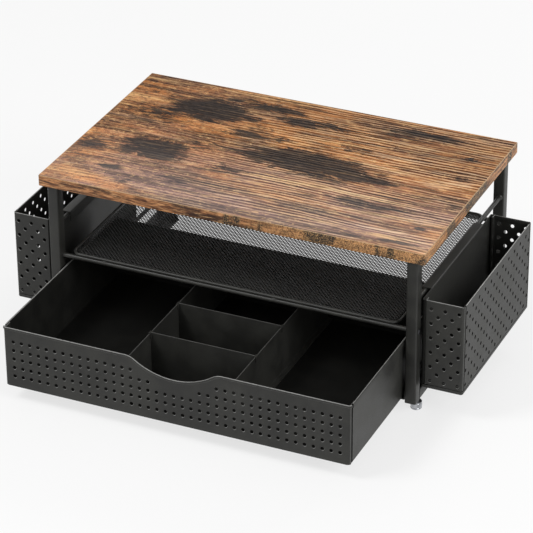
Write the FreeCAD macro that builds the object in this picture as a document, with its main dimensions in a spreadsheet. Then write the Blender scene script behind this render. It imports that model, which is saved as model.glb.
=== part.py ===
import FreeCAD, Part
import math
import os

import Sketcher

# Printer stand: a board on two welded tube frames, a mesh shelf, a perforated drawer with loose dividers and
# two pen holders that hang on the side rods. Millimetres, +Z up. The origin is on the desk, midway between
# the feet. -Y is the front. The drawer stands pulled out by drawer_pull.

SIZES = {
    "stand_height": 237.0,
    "board_width": 530.0,
    "board_depth": 330.0,
    "board_thickness": 15.0,
    "band_thickness": 1.0,
    "tube_side": 15.0,
    "tube_wall": 1.2,
    "frame_inset_side": 10.0,
    "frame_inset_front": 4.0,
    "frame_ground_gap": 18.5,
    "rod_diameter": 6.0,
    "crossbar_height": 121.0,
    "crossbar_tap_depth": 12.0,
    "hanger_rod_offset": 249.0,
    "lower_rod_height": 57.0,
    "shelf_wire_diameter": 4.0,
    "shelf_wire_offset": 227.0,
    "shelf_corner_radius": 12.0,
    "shelf_mesh_thickness": 0.8,
    "backstop_diameter": 3.0,
    "backstop_height": 134.6,
    "backstop_inset": 24.0,
    "backstop_bend": 6.0,
    "machine_screw_diameter": 4.0,
    "machine_screw_hole": 4.4,
    "machine_head_diameter": 8.0,
    "machine_head_height": 2.0,
    "wood_screw_diameter": 3.5,
    "wood_screw_hole": 3.8,
    "wood_head_diameter": 7.0,
    "wood_head_height": 2.0,
    "wood_screw_bite": 10.0,
    "wood_screw_pitch": 100.0,
    "foot_diameter": 15.0,
    "foot_height": 11.0,
    "foot_chamfer": 1.5,
    "foot_setback": 26.7,
    "stud_diameter": 6.0,
    "stud_length": 14.5,
    "nut_bore": 6.1,
    "nut_sleeve_diameter": 9.0,
    "nut_flange_diameter": 13.0,
    "nut_flange_thickness": 0.8,
    "nut_length": 10.0,
    "runner_height": 12.5,
    "runner_thickness": 1.8,
    "runner_width": 14.0,
    "runner_stop_height": 8.0,
    "drawer_pull": 165.0,
    "drawer_width": 471.3,
    "drawer_depth": 315.0,
    "drawer_height": 84.3,
    "drawer_sheet": 1.0,
    "drawer_hem_height": 6.0,
    "drawer_hem_out": 1.4,
    "drawer_corner_radius": 3.5,
    "drawer_return": 12.0,
    "scoop_half_width": 66.0,
    "scoop_depth": 21.0,
    "scoop_radius": 92.0,
    "hole_diameter": 4.2,
    "drawer_hole_pitch": 11.7,
    "drawer_hole_rise": 12.4,
    "drawer_hole_drop": 19.6,
    "divider_offset": 72.7,
    "divider_drop": 16.6,
    "divider_foot": 8.0,
    "divider_hem_height": 4.0,
    "front_divider_setback": 86.0,
    "rear_divider_setback": 166.0,
    "divider_hook_length": 6.0,
    "divider_hook_drop": 7.0,
    "holder_offset": 257.2,
    "holder_setback": 15.0,
    "holder_height": 125.6,
    "holder_length": 241.6,
    "holder_width": 55.6,
    "holder_back_width": 4.7,
    "holder_back_sheet": 1.2,
    "holder_sheet": 1.0,
    "holder_return": 8.0,
    "holder_corner_radius": 3.5,
    "holder_hem_height": 5.0,
    "holder_base_height": 5.5,
    "holder_base_lip": 11.5,
    "holder_top_gap": 71.2,
    "holder_hole_drop": 11.4,
    "holder_hole_rise": 10.3,
    "holder_end_pitch": 9.2,
    "holder_side_pitch": 10.6,
    "hook_length": 181.6,
    "hook_reach": 12.7,
    "hook_lip": 13.7,
    "bumper_diameter": 9.0,
    "bumper_thickness": 4.9,
    "bumper_inset": 30.0,
}

# Rows and columns of the perforations
DRAWER_COLUMNS = 39
DRAWER_FULL_ROWS = 3
SCOOP_ROW_GAPS = (5, 3)
HOLDER_END_COLUMNS = 5
HOLDER_SIDE_COLUMNS = 22
HOLDER_LONG_ROWS = 6
SIDES = {"left": -1, "right": 1}
ENDS = {"front": -1, "rear": 1}

# Corners of round sections, which keep the facets few
ROD_SIDES = 12
WIRE_SIDES = 8
SCREW_SIDES = 8
BEND_STEPS = 3
ALONG = {
    "x": FreeCAD.Rotation(FreeCAD.Vector(0, 1, 0), 90),
    "y": FreeCAD.Rotation(FreeCAD.Vector(1, 0, 0), -90),
    "z": FreeCAD.Rotation(),
}
QUARTER = FreeCAD.Rotation(FreeCAD.Vector(0, 0, 1), 90)

doc = FreeCAD.newDocument("printer_stand")
sheet = doc.addObject("Spreadsheet::Sheet", "sizes")
for row, (alias, number) in enumerate(SIZES.items(), start=1):
    sheet.set(f"A{row}", alias.replace("_", " "))
    sheet.set(f"B{row}", str(number))
    sheet.setAlias(f"B{row}", alias)
doc.recompute()


class Measure:
    """A length that knows its value in millimetres and the sheet formula that it follows."""

    def __init__(self, value, formula):
        self.value = value
        self.formula = formula

    @staticmethod
    def of(other):
        return other if isinstance(other, Measure) else Measure(float(other), repr(float(other)))

    def joined(self, other, sign, value):
        return Measure(value, f"({self.formula} {sign} {other.formula})")

    def __add__(self, other):
        other = Measure.of(other)
        return self.joined(other, "+", self.value + other.value)

    def __sub__(self, other):
        other = Measure.of(other)
        return self.joined(other, "-", self.value - other.value)

    def __mul__(self, other):
        other = Measure.of(other)
        return self.joined(other, "*", self.value * other.value)

    def __truediv__(self, other):
        other = Measure.of(other)
        return self.joined(other, "/", self.value / other.value)

    def __neg__(self):
        return self * -1

    def __radd__(self, other):
        return Measure.of(other) + self

    def __rsub__(self, other):
        return Measure.of(other) - self

    def __rmul__(self, other):
        return self * other


class Sizes:
    """Every sheet cell as a Measure, by its alias."""

    def __getattr__(self, alias):
        return Measure(SIZES[alias], f"sizes.{alias}")


size = Sizes()
subparts = []


def bind(thing, name, measure):
    """Let one property follow a Measure."""
    thing.setExpression(name, Measure.of(measure).formula)


def place(thing, x=0.0, y=0.0, z=0.0):
    """Let the Placement of a sub-part follow three Measures."""
    for letter, measure in zip("xyz", (x, y, z)):
        bind(thing, f"Placement.Base.{letter}", measure)


def keep(thing, label):
    """Name a finished sub-part and list it for the export."""
    thing.Label = label
    subparts.append(thing)
    return thing


def mirrored(right_part, label):
    """The left hand copy of a right hand sub-part."""
    copy = doc.addObject("Part::Mirroring", label)
    copy.Source = right_part
    copy.Normal = (1, 0, 0)
    return keep(copy, label)


# Sketches and features

def origin_feature(body, role):
    return next(part for part in body.Origin.OriginFeatures if part.Role == role)


def new_body(name):
    return doc.addObject("PartDesign::Body", name)


def new_sketch(body, name, role, offset=0.0):
    """An empty sketch on one of the body's own origin planes, moved along the plane's normal."""
    sketch = body.newObject("Sketcher::SketchObject", name)
    sketch.AttachmentSupport = [(origin_feature(body, role), "")]
    sketch.MapMode = "FlatFace"
    bind(sketch, "AttachmentOffset.Base.z", offset)
    return sketch


def pin(sketch, geometry, point, across, up):
    """Tie one sketch point to two Measures."""
    for kind, measure in (("DistanceX", across), ("DistanceY", up)):
        measure = Measure.of(measure)
        index = sketch.addConstraint(Sketcher.Constraint(kind, -1, 1, geometry, point, measure.value))
        sketch.setExpression(f"Constraints[{index}]", measure.formula)


def outline(sketch, corners):
    """Closed outline of straight sides through the corners, each a pair of Measures."""
    first = sketch.GeometryCount
    spots = [FreeCAD.Vector(Measure.of(x).value, Measure.of(y).value, 0) for x, y in corners]
    count = len(spots)
    for index, spot in enumerate(spots):
        sketch.addGeometry(Part.LineSegment(spot, spots[(index + 1) % count]), False)
    for index in range(count):
        follower = first + (index + 1) % count
        sketch.addConstraint(Sketcher.Constraint("Coincident", first + index, 2, follower, 1))
    for index, (x, y) in enumerate(corners):
        pin(sketch, first + index, 1, x, y)


def rectangle(sketch, left, bottom, right, top):
    outline(sketch, [(left, bottom), (right, bottom), (right, top), (left, top)])


def many_sided(sketch, across, up, diameter, sides=8):
    """Regular outline with its corners on a circle, the first one to the right of the centre."""
    radius = Measure.of(diameter) / 2
    turns = [math.radians(360 / sides * step) for step in range(sides)]
    outline(sketch, [(across + radius * math.cos(turn), up + radius * math.sin(turn)) for turn in turns])


def arc(start, end, radius, turns_left):
    """Arc of a given radius from start to end, shorter than a half circle, as sketch geometry."""
    middle = (start + end) * 0.5
    half = (end - start) * 0.5
    height = math.sqrt(radius * radius - half.Length * half.Length)
    side = FreeCAD.Vector(-half.y, half.x, 0)
    side.normalize()
    centre = middle + side * (height if turns_left else -height)
    first = math.atan2(start.y - centre.y, start.x - centre.x)
    last = math.atan2(end.y - centre.y, end.x - centre.x)
    if not turns_left:
        first, last = last, first
    ring = Part.Circle(centre, FreeCAD.Vector(0, 0, 1), radius)
    return Part.ArcOfCircle(ring, first, last)


def curved_outline(sketch, start, steps):
    """Closed outline of lines and arcs.

    start is a pair of Measures. Each step is (x, y) for a straight side to that point, or
    (x, y, radius, turns_left) for an arc to it. The last step comes back to start.
    """
    first = sketch.GeometryCount
    spot = FreeCAD.Vector(Measure.of(start[0]).value, Measure.of(start[1]).value, 0)
    ends = []
    for step in steps:
        target = FreeCAD.Vector(Measure.of(step[0]).value, Measure.of(step[1]).value, 0)
        if len(step) == 2:
            sketch.addGeometry(Part.LineSegment(spot, target), False)
            ends.append((1, 2))
        else:
            turns_left = step[3]
            sketch.addGeometry(arc(spot, target, Measure.of(step[2]).value, turns_left), False)
            ends.append((1, 2) if turns_left else (2, 1))
        spot = target
    count = len(steps)
    for index in range(count):
        follower = (index + 1) % count
        joint = (first + index, ends[index][1], first + follower, ends[follower][0])
        sketch.addConstraint(Sketcher.Constraint("Coincident", *joint))
    for index, step in enumerate(steps):
        pin(sketch, first + index, ends[index][1], step[0], step[1])
        if len(step) == 4:
            radius = Measure.of(step[2])
            number = sketch.addConstraint(Sketcher.Constraint("Radius", first + index, radius.value))
            sketch.setExpression(f"Constraints[{number}]", radius.formula)


def pad(body, name, sketch, length, symmetric=False, reverse=False):
    """Thicken a sketch along its plane's normal, both ways or backwards if asked."""
    feature = body.newObject("PartDesign::Pad", name)
    feature.Profile = sketch
    feature.SideType = "Symmetric" if symmetric else "One side"
    feature.Reversed = reverse
    bind(feature, "Length", length)
    return feature


def cut_through(body, name, sketch):
    """Cut a sketch through the whole body, both ways."""
    feature = body.newObject("PartDesign::Pocket", name)
    feature.Profile = sketch
    feature.Type = "ThroughAll"
    feature.SideType = "Symmetric"
    return feature


def repeat(body, name, original, directions):
    """Repeat one feature along one or two axes: (role, span, count) each, and make it the body's tip."""
    feature = body.newObject("PartDesign::LinearPattern", name)
    feature.Originals = [original]
    for suffix, (role, span, count) in zip(("", "2"), directions):
        setattr(feature, f"Direction{suffix}", (origin_feature(body, role), [""]))
        setattr(feature, f"Occurrences{suffix}", count)
        bind(feature, f"Length{suffix}", span)
    body.Tip = feature
    return feature


def prism(name, sides, diameter, length, rotation, x, y, z):
    """Bar with its corners on a circle, from a point along its axis."""
    bar = doc.addObject("Part::Prism", name)
    bar.Polygon = sides
    bind(bar, "Circumradius", Measure.of(diameter) / 2)
    bind(bar, "Height", length)
    bar.Placement.Rotation = rotation
    place(bar, x, y, z)
    return bar


def diamond(sketch, across, up):
    """One perforation: four corners on the round hole's circle."""
    many_sided(sketch, across, up, size.hole_diameter, 4)


# Levels and faces that several pieces share
board_bottom = size.stand_height - size.board_thickness
frame_outer = size.board_width / 2 - size.frame_inset_side
frame_inner = frame_outer - size.tube_side
frame_middle = frame_outer - size.tube_side / 2
frame_front = -size.board_depth / 2 + size.frame_inset_front
leg_middle = -frame_front - size.tube_side / 2
rail_half = -frame_front - size.tube_side
rail_bottom = size.frame_ground_gap
top_rail_bottom = board_bottom - size.tube_side
runner_level = size.frame_ground_gap + 1.5
drawer_level = runner_level + size.runner_thickness
drawer_stop = frame_front + size.drawer_depth + 0.1
holder_top = size.stand_height - size.holder_top_gap
hanger_rod_height = holder_top - size.holder_back_sheet - size.rod_diameter / 2
foot_y = size.board_depth / 2 - size.foot_setback


# Board with its edge banding

def make_board():
    half_width = size.board_width / 2
    half_depth = size.board_depth / 2
    band = size.band_thickness
    body = new_body("top_board")
    sketch = new_sketch(body, "board_outline", "XY_Plane", board_bottom)
    rectangle(sketch, -half_width + band, -half_depth + band, half_width - band, half_depth - band)
    pad(body, "board_core", sketch, size.board_thickness)
    for side, sign in SIDES.items():
        pilots = new_sketch(body, f"pilot_outline_{side}", "XY_Plane", board_bottom)
        for step in (-1, 1):
            many_sided(pilots, frame_middle * sign, size.wood_screw_pitch * step, size.wood_screw_diameter)
        pilot = body.newObject("PartDesign::Pocket", f"pilot_holes_{side}")
        pilot.Profile = pilots
        pilot.Reversed = True
        bind(pilot, "Length", size.wood_screw_bite)
    keep(body, "top_board")

    strips = []
    spans = {
        "front": (-half_width, -half_depth, half_width, -half_depth + band),
        "rear": (-half_width, half_depth - band, half_width, half_depth),
        "left": (-half_width, -half_depth + band, -half_width + band, half_depth - band),
        "right": (half_width - band, -half_depth + band, half_width, half_depth - band),
    }
    for name, (left, near, right, far) in spans.items():
        strip = doc.addObject("Part::Box", f"band_{name}")
        bind(strip, "Length", right - left)
        bind(strip, "Width", far - near)
        bind(strip, "Height", size.board_thickness)
        place(strip, left, near, board_bottom)
        strips.append(strip)
    group = doc.addObject("Part::Compound", "edge_banding")
    group.Links = strips
    keep(group, "edge_banding")


# Welded side frames: legs, rails, side rods, and the crossbars between them

def tube_section(sketch):
    half = size.tube_side / 2
    inner = half - size.tube_wall
    rectangle(sketch, -half, -half, half, half)
    rectangle(sketch, -inner, -inner, inner, inner)


def make_leg(side, end):
    """Upright square tube with a cross hole for the crossbar's screw."""
    name = f"leg_{end}_{side}"
    body = new_body(name)
    section = new_sketch(body, f"{name}_section", "XY_Plane")
    tube_section(section)
    pad(body, f"{name}_tube", section, board_bottom - rail_bottom)
    drill = new_sketch(body, f"{name}_drill", "YZ_Plane")
    many_sided(drill, 0.0, size.crossbar_height - rail_bottom, size.machine_screw_hole)
    cut_through(body, f"{name}_screw_hole", drill)
    place(body, frame_middle * SIDES[side], leg_middle * ENDS[end], rail_bottom)
    keep(body, name)


def make_rail(side, level, bottom):
    """Front to back tube between two legs, drilled for the board screws or for the foot nuts."""
    name = f"{level}_rail_{side}"
    body = new_body(name)
    section = new_sketch(body, f"{name}_section", "XZ_Plane")
    tube_section(section)
    pad(body, f"{name}_tube", section, rail_half * 2, symmetric=True)
    drill = new_sketch(body, f"{name}_drill", "XY_Plane")
    if level == "top":
        for step in (-1, 1):
            many_sided(drill, 0.0, size.wood_screw_pitch * step, size.wood_screw_hole)
        cut_through(body, f"{name}_holes", drill)
    else:
        for sign in (-1, 1):
            many_sided(drill, 0.0, foot_y * sign, size.nut_sleeve_diameter)
        nut_holes = body.newObject("PartDesign::Pocket", f"{name}_holes")
        nut_holes.Profile = drill
        bind(nut_holes, "Length", size.tube_side)
    place(body, frame_middle * SIDES[side], 0.0, bottom + size.tube_side / 2)
    keep(body, name)


def make_side_rod(name, side, height):
    """Round rod welded between the two legs of one side."""
    across = size.hanger_rod_offset * SIDES[side]
    keep(prism(name, ROD_SIDES, size.rod_diameter, rail_half * 2, ALONG["y"], across, -rail_half, height), name)


def make_crossbar(end):
    """Round rod between two legs, bored at both ends for the screws that hold it."""
    name = f"crossbar_{end}"
    body = new_body(name)
    section = new_sketch(body, f"{name}_section", "YZ_Plane")
    many_sided(section, 0.0, 0.0, size.rod_diameter, ROD_SIDES)
    pad(body, f"{name}_rod", section, frame_inner * 2, symmetric=True)
    for side, sign in SIDES.items():
        bore = new_sketch(body, f"{name}_bore_{side}", "YZ_Plane", frame_inner * sign)
        many_sided(bore, 0.0, 0.0, size.machine_screw_diameter)
        tap = body.newObject("PartDesign::Pocket", f"{name}_tap_{side}")
        tap.Profile = bore
        tap.Reversed = sign < 0
        bind(tap, "Length", size.crossbar_tap_depth)
    place(body, 0.0, leg_middle * ENDS[end], size.crossbar_height)
    keep(body, name)


# Mesh shelf with its wire rim and rear backstop

def straight_wire(name, direction, diameter, length, x, y, z):
    """Straight stretch of wire that starts at a point and runs along an axis."""
    return prism(name, WIRE_SIDES, diameter, length, ALONG[direction], x, y, z)


def bent_wire(name, rotation, diameter, bend, x, y, z):
    """Quarter bend of wire about a point, in straight steps. Unturned, it goes from +X to +Y."""
    body = new_body(name)
    sections = []
    for step in range(BEND_STEPS + 1):
        section = new_sketch(body, f"{name}_section_{step}", "XZ_Plane")
        section.AttachmentOffset.Rotation = FreeCAD.Rotation(FreeCAD.Vector(0, 1, 0), 90 * step / BEND_STEPS)
        many_sided(section, bend, 0.0, diameter, WIRE_SIDES)
        sections.append(section)
    turn = body.newObject("PartDesign::AdditiveLoft", f"{name}_turn")
    turn.Profile = sections[0]
    turn.Sections = sections[1:]
    turn.Ruled = True
    body.Placement.Rotation = rotation
    place(body, x, y, z)
    return body


def joined_wire(stretches, label):
    wire = doc.addObject("Part::MultiFuse", label)
    wire.Shapes = stretches
    return keep(wire, label)


def make_shelf():
    half_x = size.shelf_wire_offset
    half_y = leg_middle
    radius = size.shelf_corner_radius
    thick = size.shelf_wire_diameter
    level = size.crossbar_height + size.rod_diameter / 2 + thick / 2
    run_x = half_x - radius
    run_y = half_y - radius

    stretches = []
    for end, sign in ENDS.items():
        stretches.append(straight_wire(f"rim_{end}", "x", thick, run_x * 2, -run_x, half_y * sign, level))
    for side, sign in SIDES.items():
        stretches.append(straight_wire(f"rim_{side}", "y", thick, run_y * 2, half_x * sign, -run_y, level))
    turn = FreeCAD.Rotation()
    for number, (across, along) in enumerate(((1, 1), (-1, 1), (-1, -1), (1, -1)), start=1):
        stretches.append(bent_wire(f"rim_corner_{number}", turn, thick, radius, run_x * across, run_y * along, level))
        turn = QUARTER.multiply(turn)
    joined_wire(stretches, "shelf_rim")

    # The backstop stands on the rear of the rim, its ends sunk into the wire where they are welded
    across = half_x - size.backstop_inset
    bend = size.backstop_bend
    stop_thick = size.backstop_diameter
    foot = level + thick / 2 - 0.5
    shoulder = size.backstop_height - bend
    upright = FreeCAD.Rotation(FreeCAD.Vector(1, 0, 0), 90)
    stretches = [
        straight_wire("backstop_bar", "x", stop_thick, (across - bend) * 2, -across + bend, half_y, size.backstop_height)
    ]
    for side, sign in SIDES.items():
        rotation = upright if sign > 0 else upright.multiply(QUARTER)
        post = straight_wire(f"backstop_post_{side}", "z", stop_thick, shoulder - foot, across * sign, half_y, foot)
        corner = bent_wire(
            f"backstop_corner_{side}", rotation, stop_thick, bend, (across - bend) * sign, half_y, shoulder
        )
        stretches.extend([post, corner])
    joined_wire(stretches, "shelf_backstop")

    mesh = new_body("mesh_floor")
    sheet_outline = new_sketch(mesh, "mesh_outline", "XY_Plane")
    turn = radius - size.shelf_wire_diameter / 2
    corners = []
    for quarter, (right, rear) in enumerate(((1, 1), (-1, 1), (-1, -1), (1, -1))):
        for step in range(BEND_STEPS + 1):
            angle = math.radians(90 * (quarter + step / BEND_STEPS))
            corners.append((run_x * right + turn * math.cos(angle), run_y * rear + turn * math.sin(angle)))
    outline(sheet_outline, corners)
    pad(mesh, "mesh_sheet", sheet_outline, size.shelf_mesh_thickness, symmetric=True)
    place(mesh, 0.0, 0.0, level)
    fence = doc.addObject("Part::Box", "mesh_fence")
    fence_half = across - size.backstop_diameter / 2 - bend
    fence_bottom = level + size.shelf_wire_diameter / 2
    bind(fence, "Length", fence_half * 2)
    bind(fence, "Width", size.shelf_mesh_thickness)
    bind(fence, "Height", size.backstop_height - size.backstop_diameter / 2 - fence_bottom)
    place(fence, -fence_half, half_y - size.shelf_mesh_thickness / 2, fence_bottom)
    group_of([mesh, fence], "shelf_mesh")


# Drawer runners

def make_runners():
    """Angle strip on the inside of the bottom rail, with a stop turned up at the rear."""
    body = new_body("runner_right")
    length = leg_middle * 2 + size.tube_side / 2
    section = new_sketch(body, "runner_section", "XZ_Plane")
    thick = size.runner_thickness
    outline(
        section,
        [
            (-size.runner_width, 0.0),
            (0.0, 0.0),
            (0.0, size.runner_height),
            (-thick, size.runner_height),
            (-thick, thick),
            (-size.runner_width, thick),
        ],
    )
    pad(body, "runner_angle", section, length, symmetric=True)
    stop = new_sketch(body, "runner_stop_outline", "XZ_Plane", -drawer_stop - thick)
    rectangle(stop, -size.runner_width, 0.0, 0.0, thick + size.runner_stop_height)
    pad(body, "runner_stop", stop, thick)
    place(body, frame_inner, 0.0, runner_level)
    keep(body, "runner_right")
    mirrored(body, "runner_left")


# Screws, nuts and feet

def fused(name, head, shank):
    screw = doc.addObject("Part::Fuse", name)
    screw.Base = head
    screw.Tool = shank
    return screw


def make_machine_screw(name, side, end):
    """Button head screw through a leg into the end of a crossbar."""
    sign = SIDES[side]
    turn = FreeCAD.Rotation(FreeCAD.Vector(0, 1, 0), 90 * sign)
    start = frame_inner - size.crossbar_tap_depth + 2.0
    along = leg_middle * ENDS[end]
    thread = size.machine_screw_diameter
    height = size.crossbar_height
    shank = prism(f"{name}_shank", SCREW_SIDES, thread, frame_outer - start, turn, start * sign, along, height)
    head = prism(
        f"{name}_head",
        SCREW_SIDES,
        size.machine_head_diameter,
        size.machine_head_height,
        turn,
        frame_outer * sign,
        along,
        height,
    )
    return fused(name, head, shank)


def make_wood_screw(name, side, step):
    """Pan head screw up through the top rail into the board."""
    across = frame_middle * SIDES[side]
    along = size.wood_screw_pitch * step
    grip = size.tube_side + size.wood_screw_bite
    upright = ALONG["z"]
    shank = prism(
        f"{name}_shank", SCREW_SIDES, size.wood_screw_diameter, grip, upright, across, along, top_rail_bottom
    )
    head = prism(
        f"{name}_head",
        SCREW_SIDES,
        size.wood_head_diameter,
        size.wood_head_height,
        upright,
        across,
        along,
        top_rail_bottom - size.wood_head_height,
    )
    return fused(name, head, shank)


def make_foot_nut(name, side, end):
    """Flanged threaded insert in the bottom rail."""
    body = new_body(name)
    sleeve = new_sketch(body, f"{name}_sleeve_outline", "XY_Plane")
    many_sided(sleeve, 0.0, 0.0, size.nut_sleeve_diameter)
    many_sided(sleeve, 0.0, 0.0, size.nut_bore)
    pad(body, f"{name}_sleeve", sleeve, size.nut_length)
    flange = new_sketch(body, f"{name}_flange_outline", "XY_Plane")
    many_sided(flange, 0.0, 0.0, size.nut_flange_diameter)
    many_sided(flange, 0.0, 0.0, size.nut_bore)
    pad(body, f"{name}_flange", flange, size.nut_flange_thickness, reverse=True)
    place(body, frame_middle * SIDES[side], foot_y * ENDS[end], rail_bottom)
    return body


def lowest_face(feature):
    """Name of the face that lies lowest."""
    heights = [face.CenterOfMass.z for face in feature.Shape.Faces]
    return f"Face{heights.index(min(heights)) + 1}"


def make_foot(side, end):
    """Levelling foot: a chrome drum with a chamfered sole and a threaded stud."""
    name = f"foot_{end}_{side}"
    body = new_body(name)
    drum = new_sketch(body, f"{name}_drum_outline", "XY_Plane")
    many_sided(drum, 0.0, 0.0, size.foot_diameter, ROD_SIDES)
    block = pad(body, f"{name}_drum", drum, size.foot_height)
    doc.recompute()
    sole = body.newObject("PartDesign::Chamfer", f"{name}_sole")
    sole.Base = (block, [lowest_face(block)])
    bind(sole, "Size", size.foot_chamfer)
    stud = new_sketch(body, f"{name}_stud_outline", "XY_Plane", size.foot_height)
    many_sided(stud, 0.0, 0.0, size.stud_diameter)
    pad(body, f"{name}_stud", stud, size.stud_length)
    place(body, frame_middle * SIDES[side], foot_y * ENDS[end], 0.0)
    keep(body, name)


def group_of(pieces, label):
    group = doc.addObject("Part::Compound", label)
    group.Links = pieces
    keep(group, label)


# Drawer, drawn with its front face at y = 0 and its underside at z = 0

def place_in_drawer(thing, back=0.0, up=0.0):
    place(thing, 0.0, frame_front - size.drawer_pull + back, drawer_level + up)


def make_drawer_tray():
    """Floor, two sides and a back folded from one sheet, with the rim hemmed outwards."""
    half = size.drawer_width / 2
    wall = size.drawer_sheet
    start = size.drawer_corner_radius + 0.2
    body = new_body("drawer_tray")
    walls = new_sketch(body, "tray_walls_outline", "XY_Plane")
    outline(
        walls,
        [
            (-half, start),
            (-half + wall, start),
            (-half + wall, size.drawer_depth - wall),
            (half - wall, size.drawer_depth - wall),
            (half - wall, start),
            (half, start),
            (half, size.drawer_depth),
            (-half, size.drawer_depth),
        ],
    )
    pad(body, "tray_walls", walls, size.drawer_height)
    floor = new_sketch(body, "tray_floor_outline", "XY_Plane")
    nose = half - size.drawer_corner_radius
    notch = half - wall * 2
    lap_end = size.drawer_corner_radius + size.drawer_return
    back = size.drawer_depth - wall
    outline(
        floor,
        [
            (-nose, wall),
            (nose, wall),
            (nose, start),
            (notch, start),
            (notch, lap_end),
            (half - wall, lap_end),
            (half - wall, back),
            (-half + wall, back),
            (-half + wall, lap_end),
            (-notch, lap_end),
            (-notch, start),
            (-nose, start),
        ],
    )
    pad(body, "tray_floor", floor, wall)
    hem = new_sketch(body, "tray_hem_outline", "XY_Plane", size.drawer_height - size.drawer_hem_height)
    out = size.drawer_hem_out
    outline(
        hem,
        [
            (-half - out, start),
            (-half, start),
            (-half, size.drawer_depth),
            (half, size.drawer_depth),
            (half, start),
            (half + out, start),
            (half + out, size.drawer_depth + out),
            (-half - out, size.drawer_depth + out),
        ],
    )
    pad(body, "tray_hem", hem, size.drawer_hem_height)
    place_in_drawer(body)
    keep(body, "drawer_tray")


def make_drawer_front():
    """Perforated front sheet with rounded upright edges, a scooped rim with a hem, and rows of holes."""
    half = size.drawer_width / 2
    wall = size.drawer_sheet
    radius = size.drawer_corner_radius
    inner = radius - wall
    reach = size.drawer_return + radius
    joggle = radius + 0.2
    body = new_body("drawer_front")
    plan = new_sketch(body, "front_plan", "XY_Plane")
    curved_outline(
        plan,
        (-half + radius, 0.0),
        [
            (half - radius, 0.0),
            (half, radius, radius, True),
            (half - wall, joggle),
            (half - wall, reach),
            (half - wall * 2, reach),
            (half - wall * 2, joggle),
            (half - wall, radius),
            (half - radius, wall, inner, False),
            (-half + radius, wall),
            (-half + wall, radius, inner, False),
            (-half + wall * 2, joggle),
            (-half + wall * 2, reach),
            (-half + wall, reach),
            (-half + wall, joggle),
            (-half, radius),
            (-half + radius, 0.0, radius, True),
        ],
    )
    pad(body, "front_sheet", plan, size.drawer_height)

    rim = size.drawer_height
    width = size.scoop_half_width
    depth = size.scoop_depth
    hem_depth = size.drawer_hem_height
    hem = new_sketch(body, "hem_outline", "XZ_Plane", -wall)
    edge = half - wall * 2
    shoulder = (width * width + depth * depth) / (depth * 2) - size.scoop_radius
    share = size.scoop_radius / (size.scoop_radius + shoulder)
    knee = width * share
    knee_up = rim - depth * (1 - share)
    low_share = (size.scoop_radius + hem_depth) / (size.scoop_radius + shoulder)
    low_knee = width * low_share
    low_knee_up = rim - hem_depth - depth * (1 - low_share)
    curved_outline(
        hem,
        (edge, rim),
        [
            (width, rim),
            (knee, knee_up, shoulder, True),
            (-knee, knee_up, size.scoop_radius, False),
            (-width, rim, shoulder, True),
            (-edge, rim),
            (-edge, rim - hem_depth),
            (-width, rim - hem_depth),
            (-low_knee, low_knee_up, shoulder - hem_depth, False),
            (low_knee, low_knee_up, size.scoop_radius + hem_depth, True),
            (width, rim - hem_depth, shoulder - hem_depth, False),
            (edge, rim - hem_depth),
            (edge, rim),
        ],
    )
    pad(body, "front_hem", hem, wall, reverse=True)

    cut = new_sketch(body, "scoop_outline", "XZ_Plane")
    curved_outline(
        cut,
        (width, rim),
        [
            (knee, knee_up, shoulder, True),
            (-knee, knee_up, size.scoop_radius, False),
            (-width, rim, shoulder, True),
            (-width, rim + 5.0),
            (width, rim + 5.0),
            (width, rim),
        ],
    )
    cut_through(body, "scoop", cut)

    pitch = size.drawer_hole_pitch
    last_column = DRAWER_COLUMNS // 2
    first_row = rim - size.drawer_hole_drop
    for row, gap in enumerate(SCOOP_ROW_GAPS):
        level = first_row - size.drawer_hole_rise * row
        count = last_column - gap + 1
        for side, start in (("left", -last_column), ("right", gap)):
            seed = new_sketch(body, f"row_{row + 1}_{side}_hole", "XZ_Plane")
            diamond(seed, pitch * start, level)
            hole = cut_through(body, f"row_{row + 1}_{side}_seed", seed)
            repeat(body, f"row_{row + 1}_{side}", hole, [("X_Axis", pitch * (count - 1), count)])
    seed = new_sketch(body, "full_rows_hole", "XZ_Plane")
    lowest = first_row - size.drawer_hole_rise * (len(SCOOP_ROW_GAPS) + DRAWER_FULL_ROWS - 1)
    diamond(seed, pitch * -last_column, lowest)
    hole = cut_through(body, "full_rows_seed", seed)
    repeat(
        body,
        "full_rows",
        hole,
        [
            ("X_Axis", pitch * (DRAWER_COLUMNS - 1), DRAWER_COLUMNS),
            ("Z_Axis", size.drawer_hole_rise * (DRAWER_FULL_ROWS - 1), DRAWER_FULL_ROWS),
        ],
    )
    place_in_drawer(body)
    keep(body, "drawer_front")


def make_long_dividers():
    """Front to back divider: an upright sheet with a foot on the floor."""
    wall = size.drawer_sheet
    body = new_body("long_divider_right")
    section = new_sketch(body, "long_divider_section", "XZ_Plane")
    top = size.drawer_height - size.divider_drop
    near = size.divider_offset
    outline(
        section,
        [
            (near - wall / 2, wall),
            (near + size.divider_foot, wall),
            (near + size.divider_foot, wall * 2),
            (near + wall / 2, wall * 2),
            (near + wall / 2, top),
            (near - wall / 2, top),
        ],
    )
    start = wall * 2 + 0.2
    stretch = size.drawer_depth - wall - start - 0.2
    pad(body, "long_divider_sheet", section, stretch, reverse=True)
    place_in_drawer(body, start)
    keep(body, "long_divider_right")
    mirrored_body = mirrored(body, "long_divider_left")
    return mirrored_body


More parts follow.
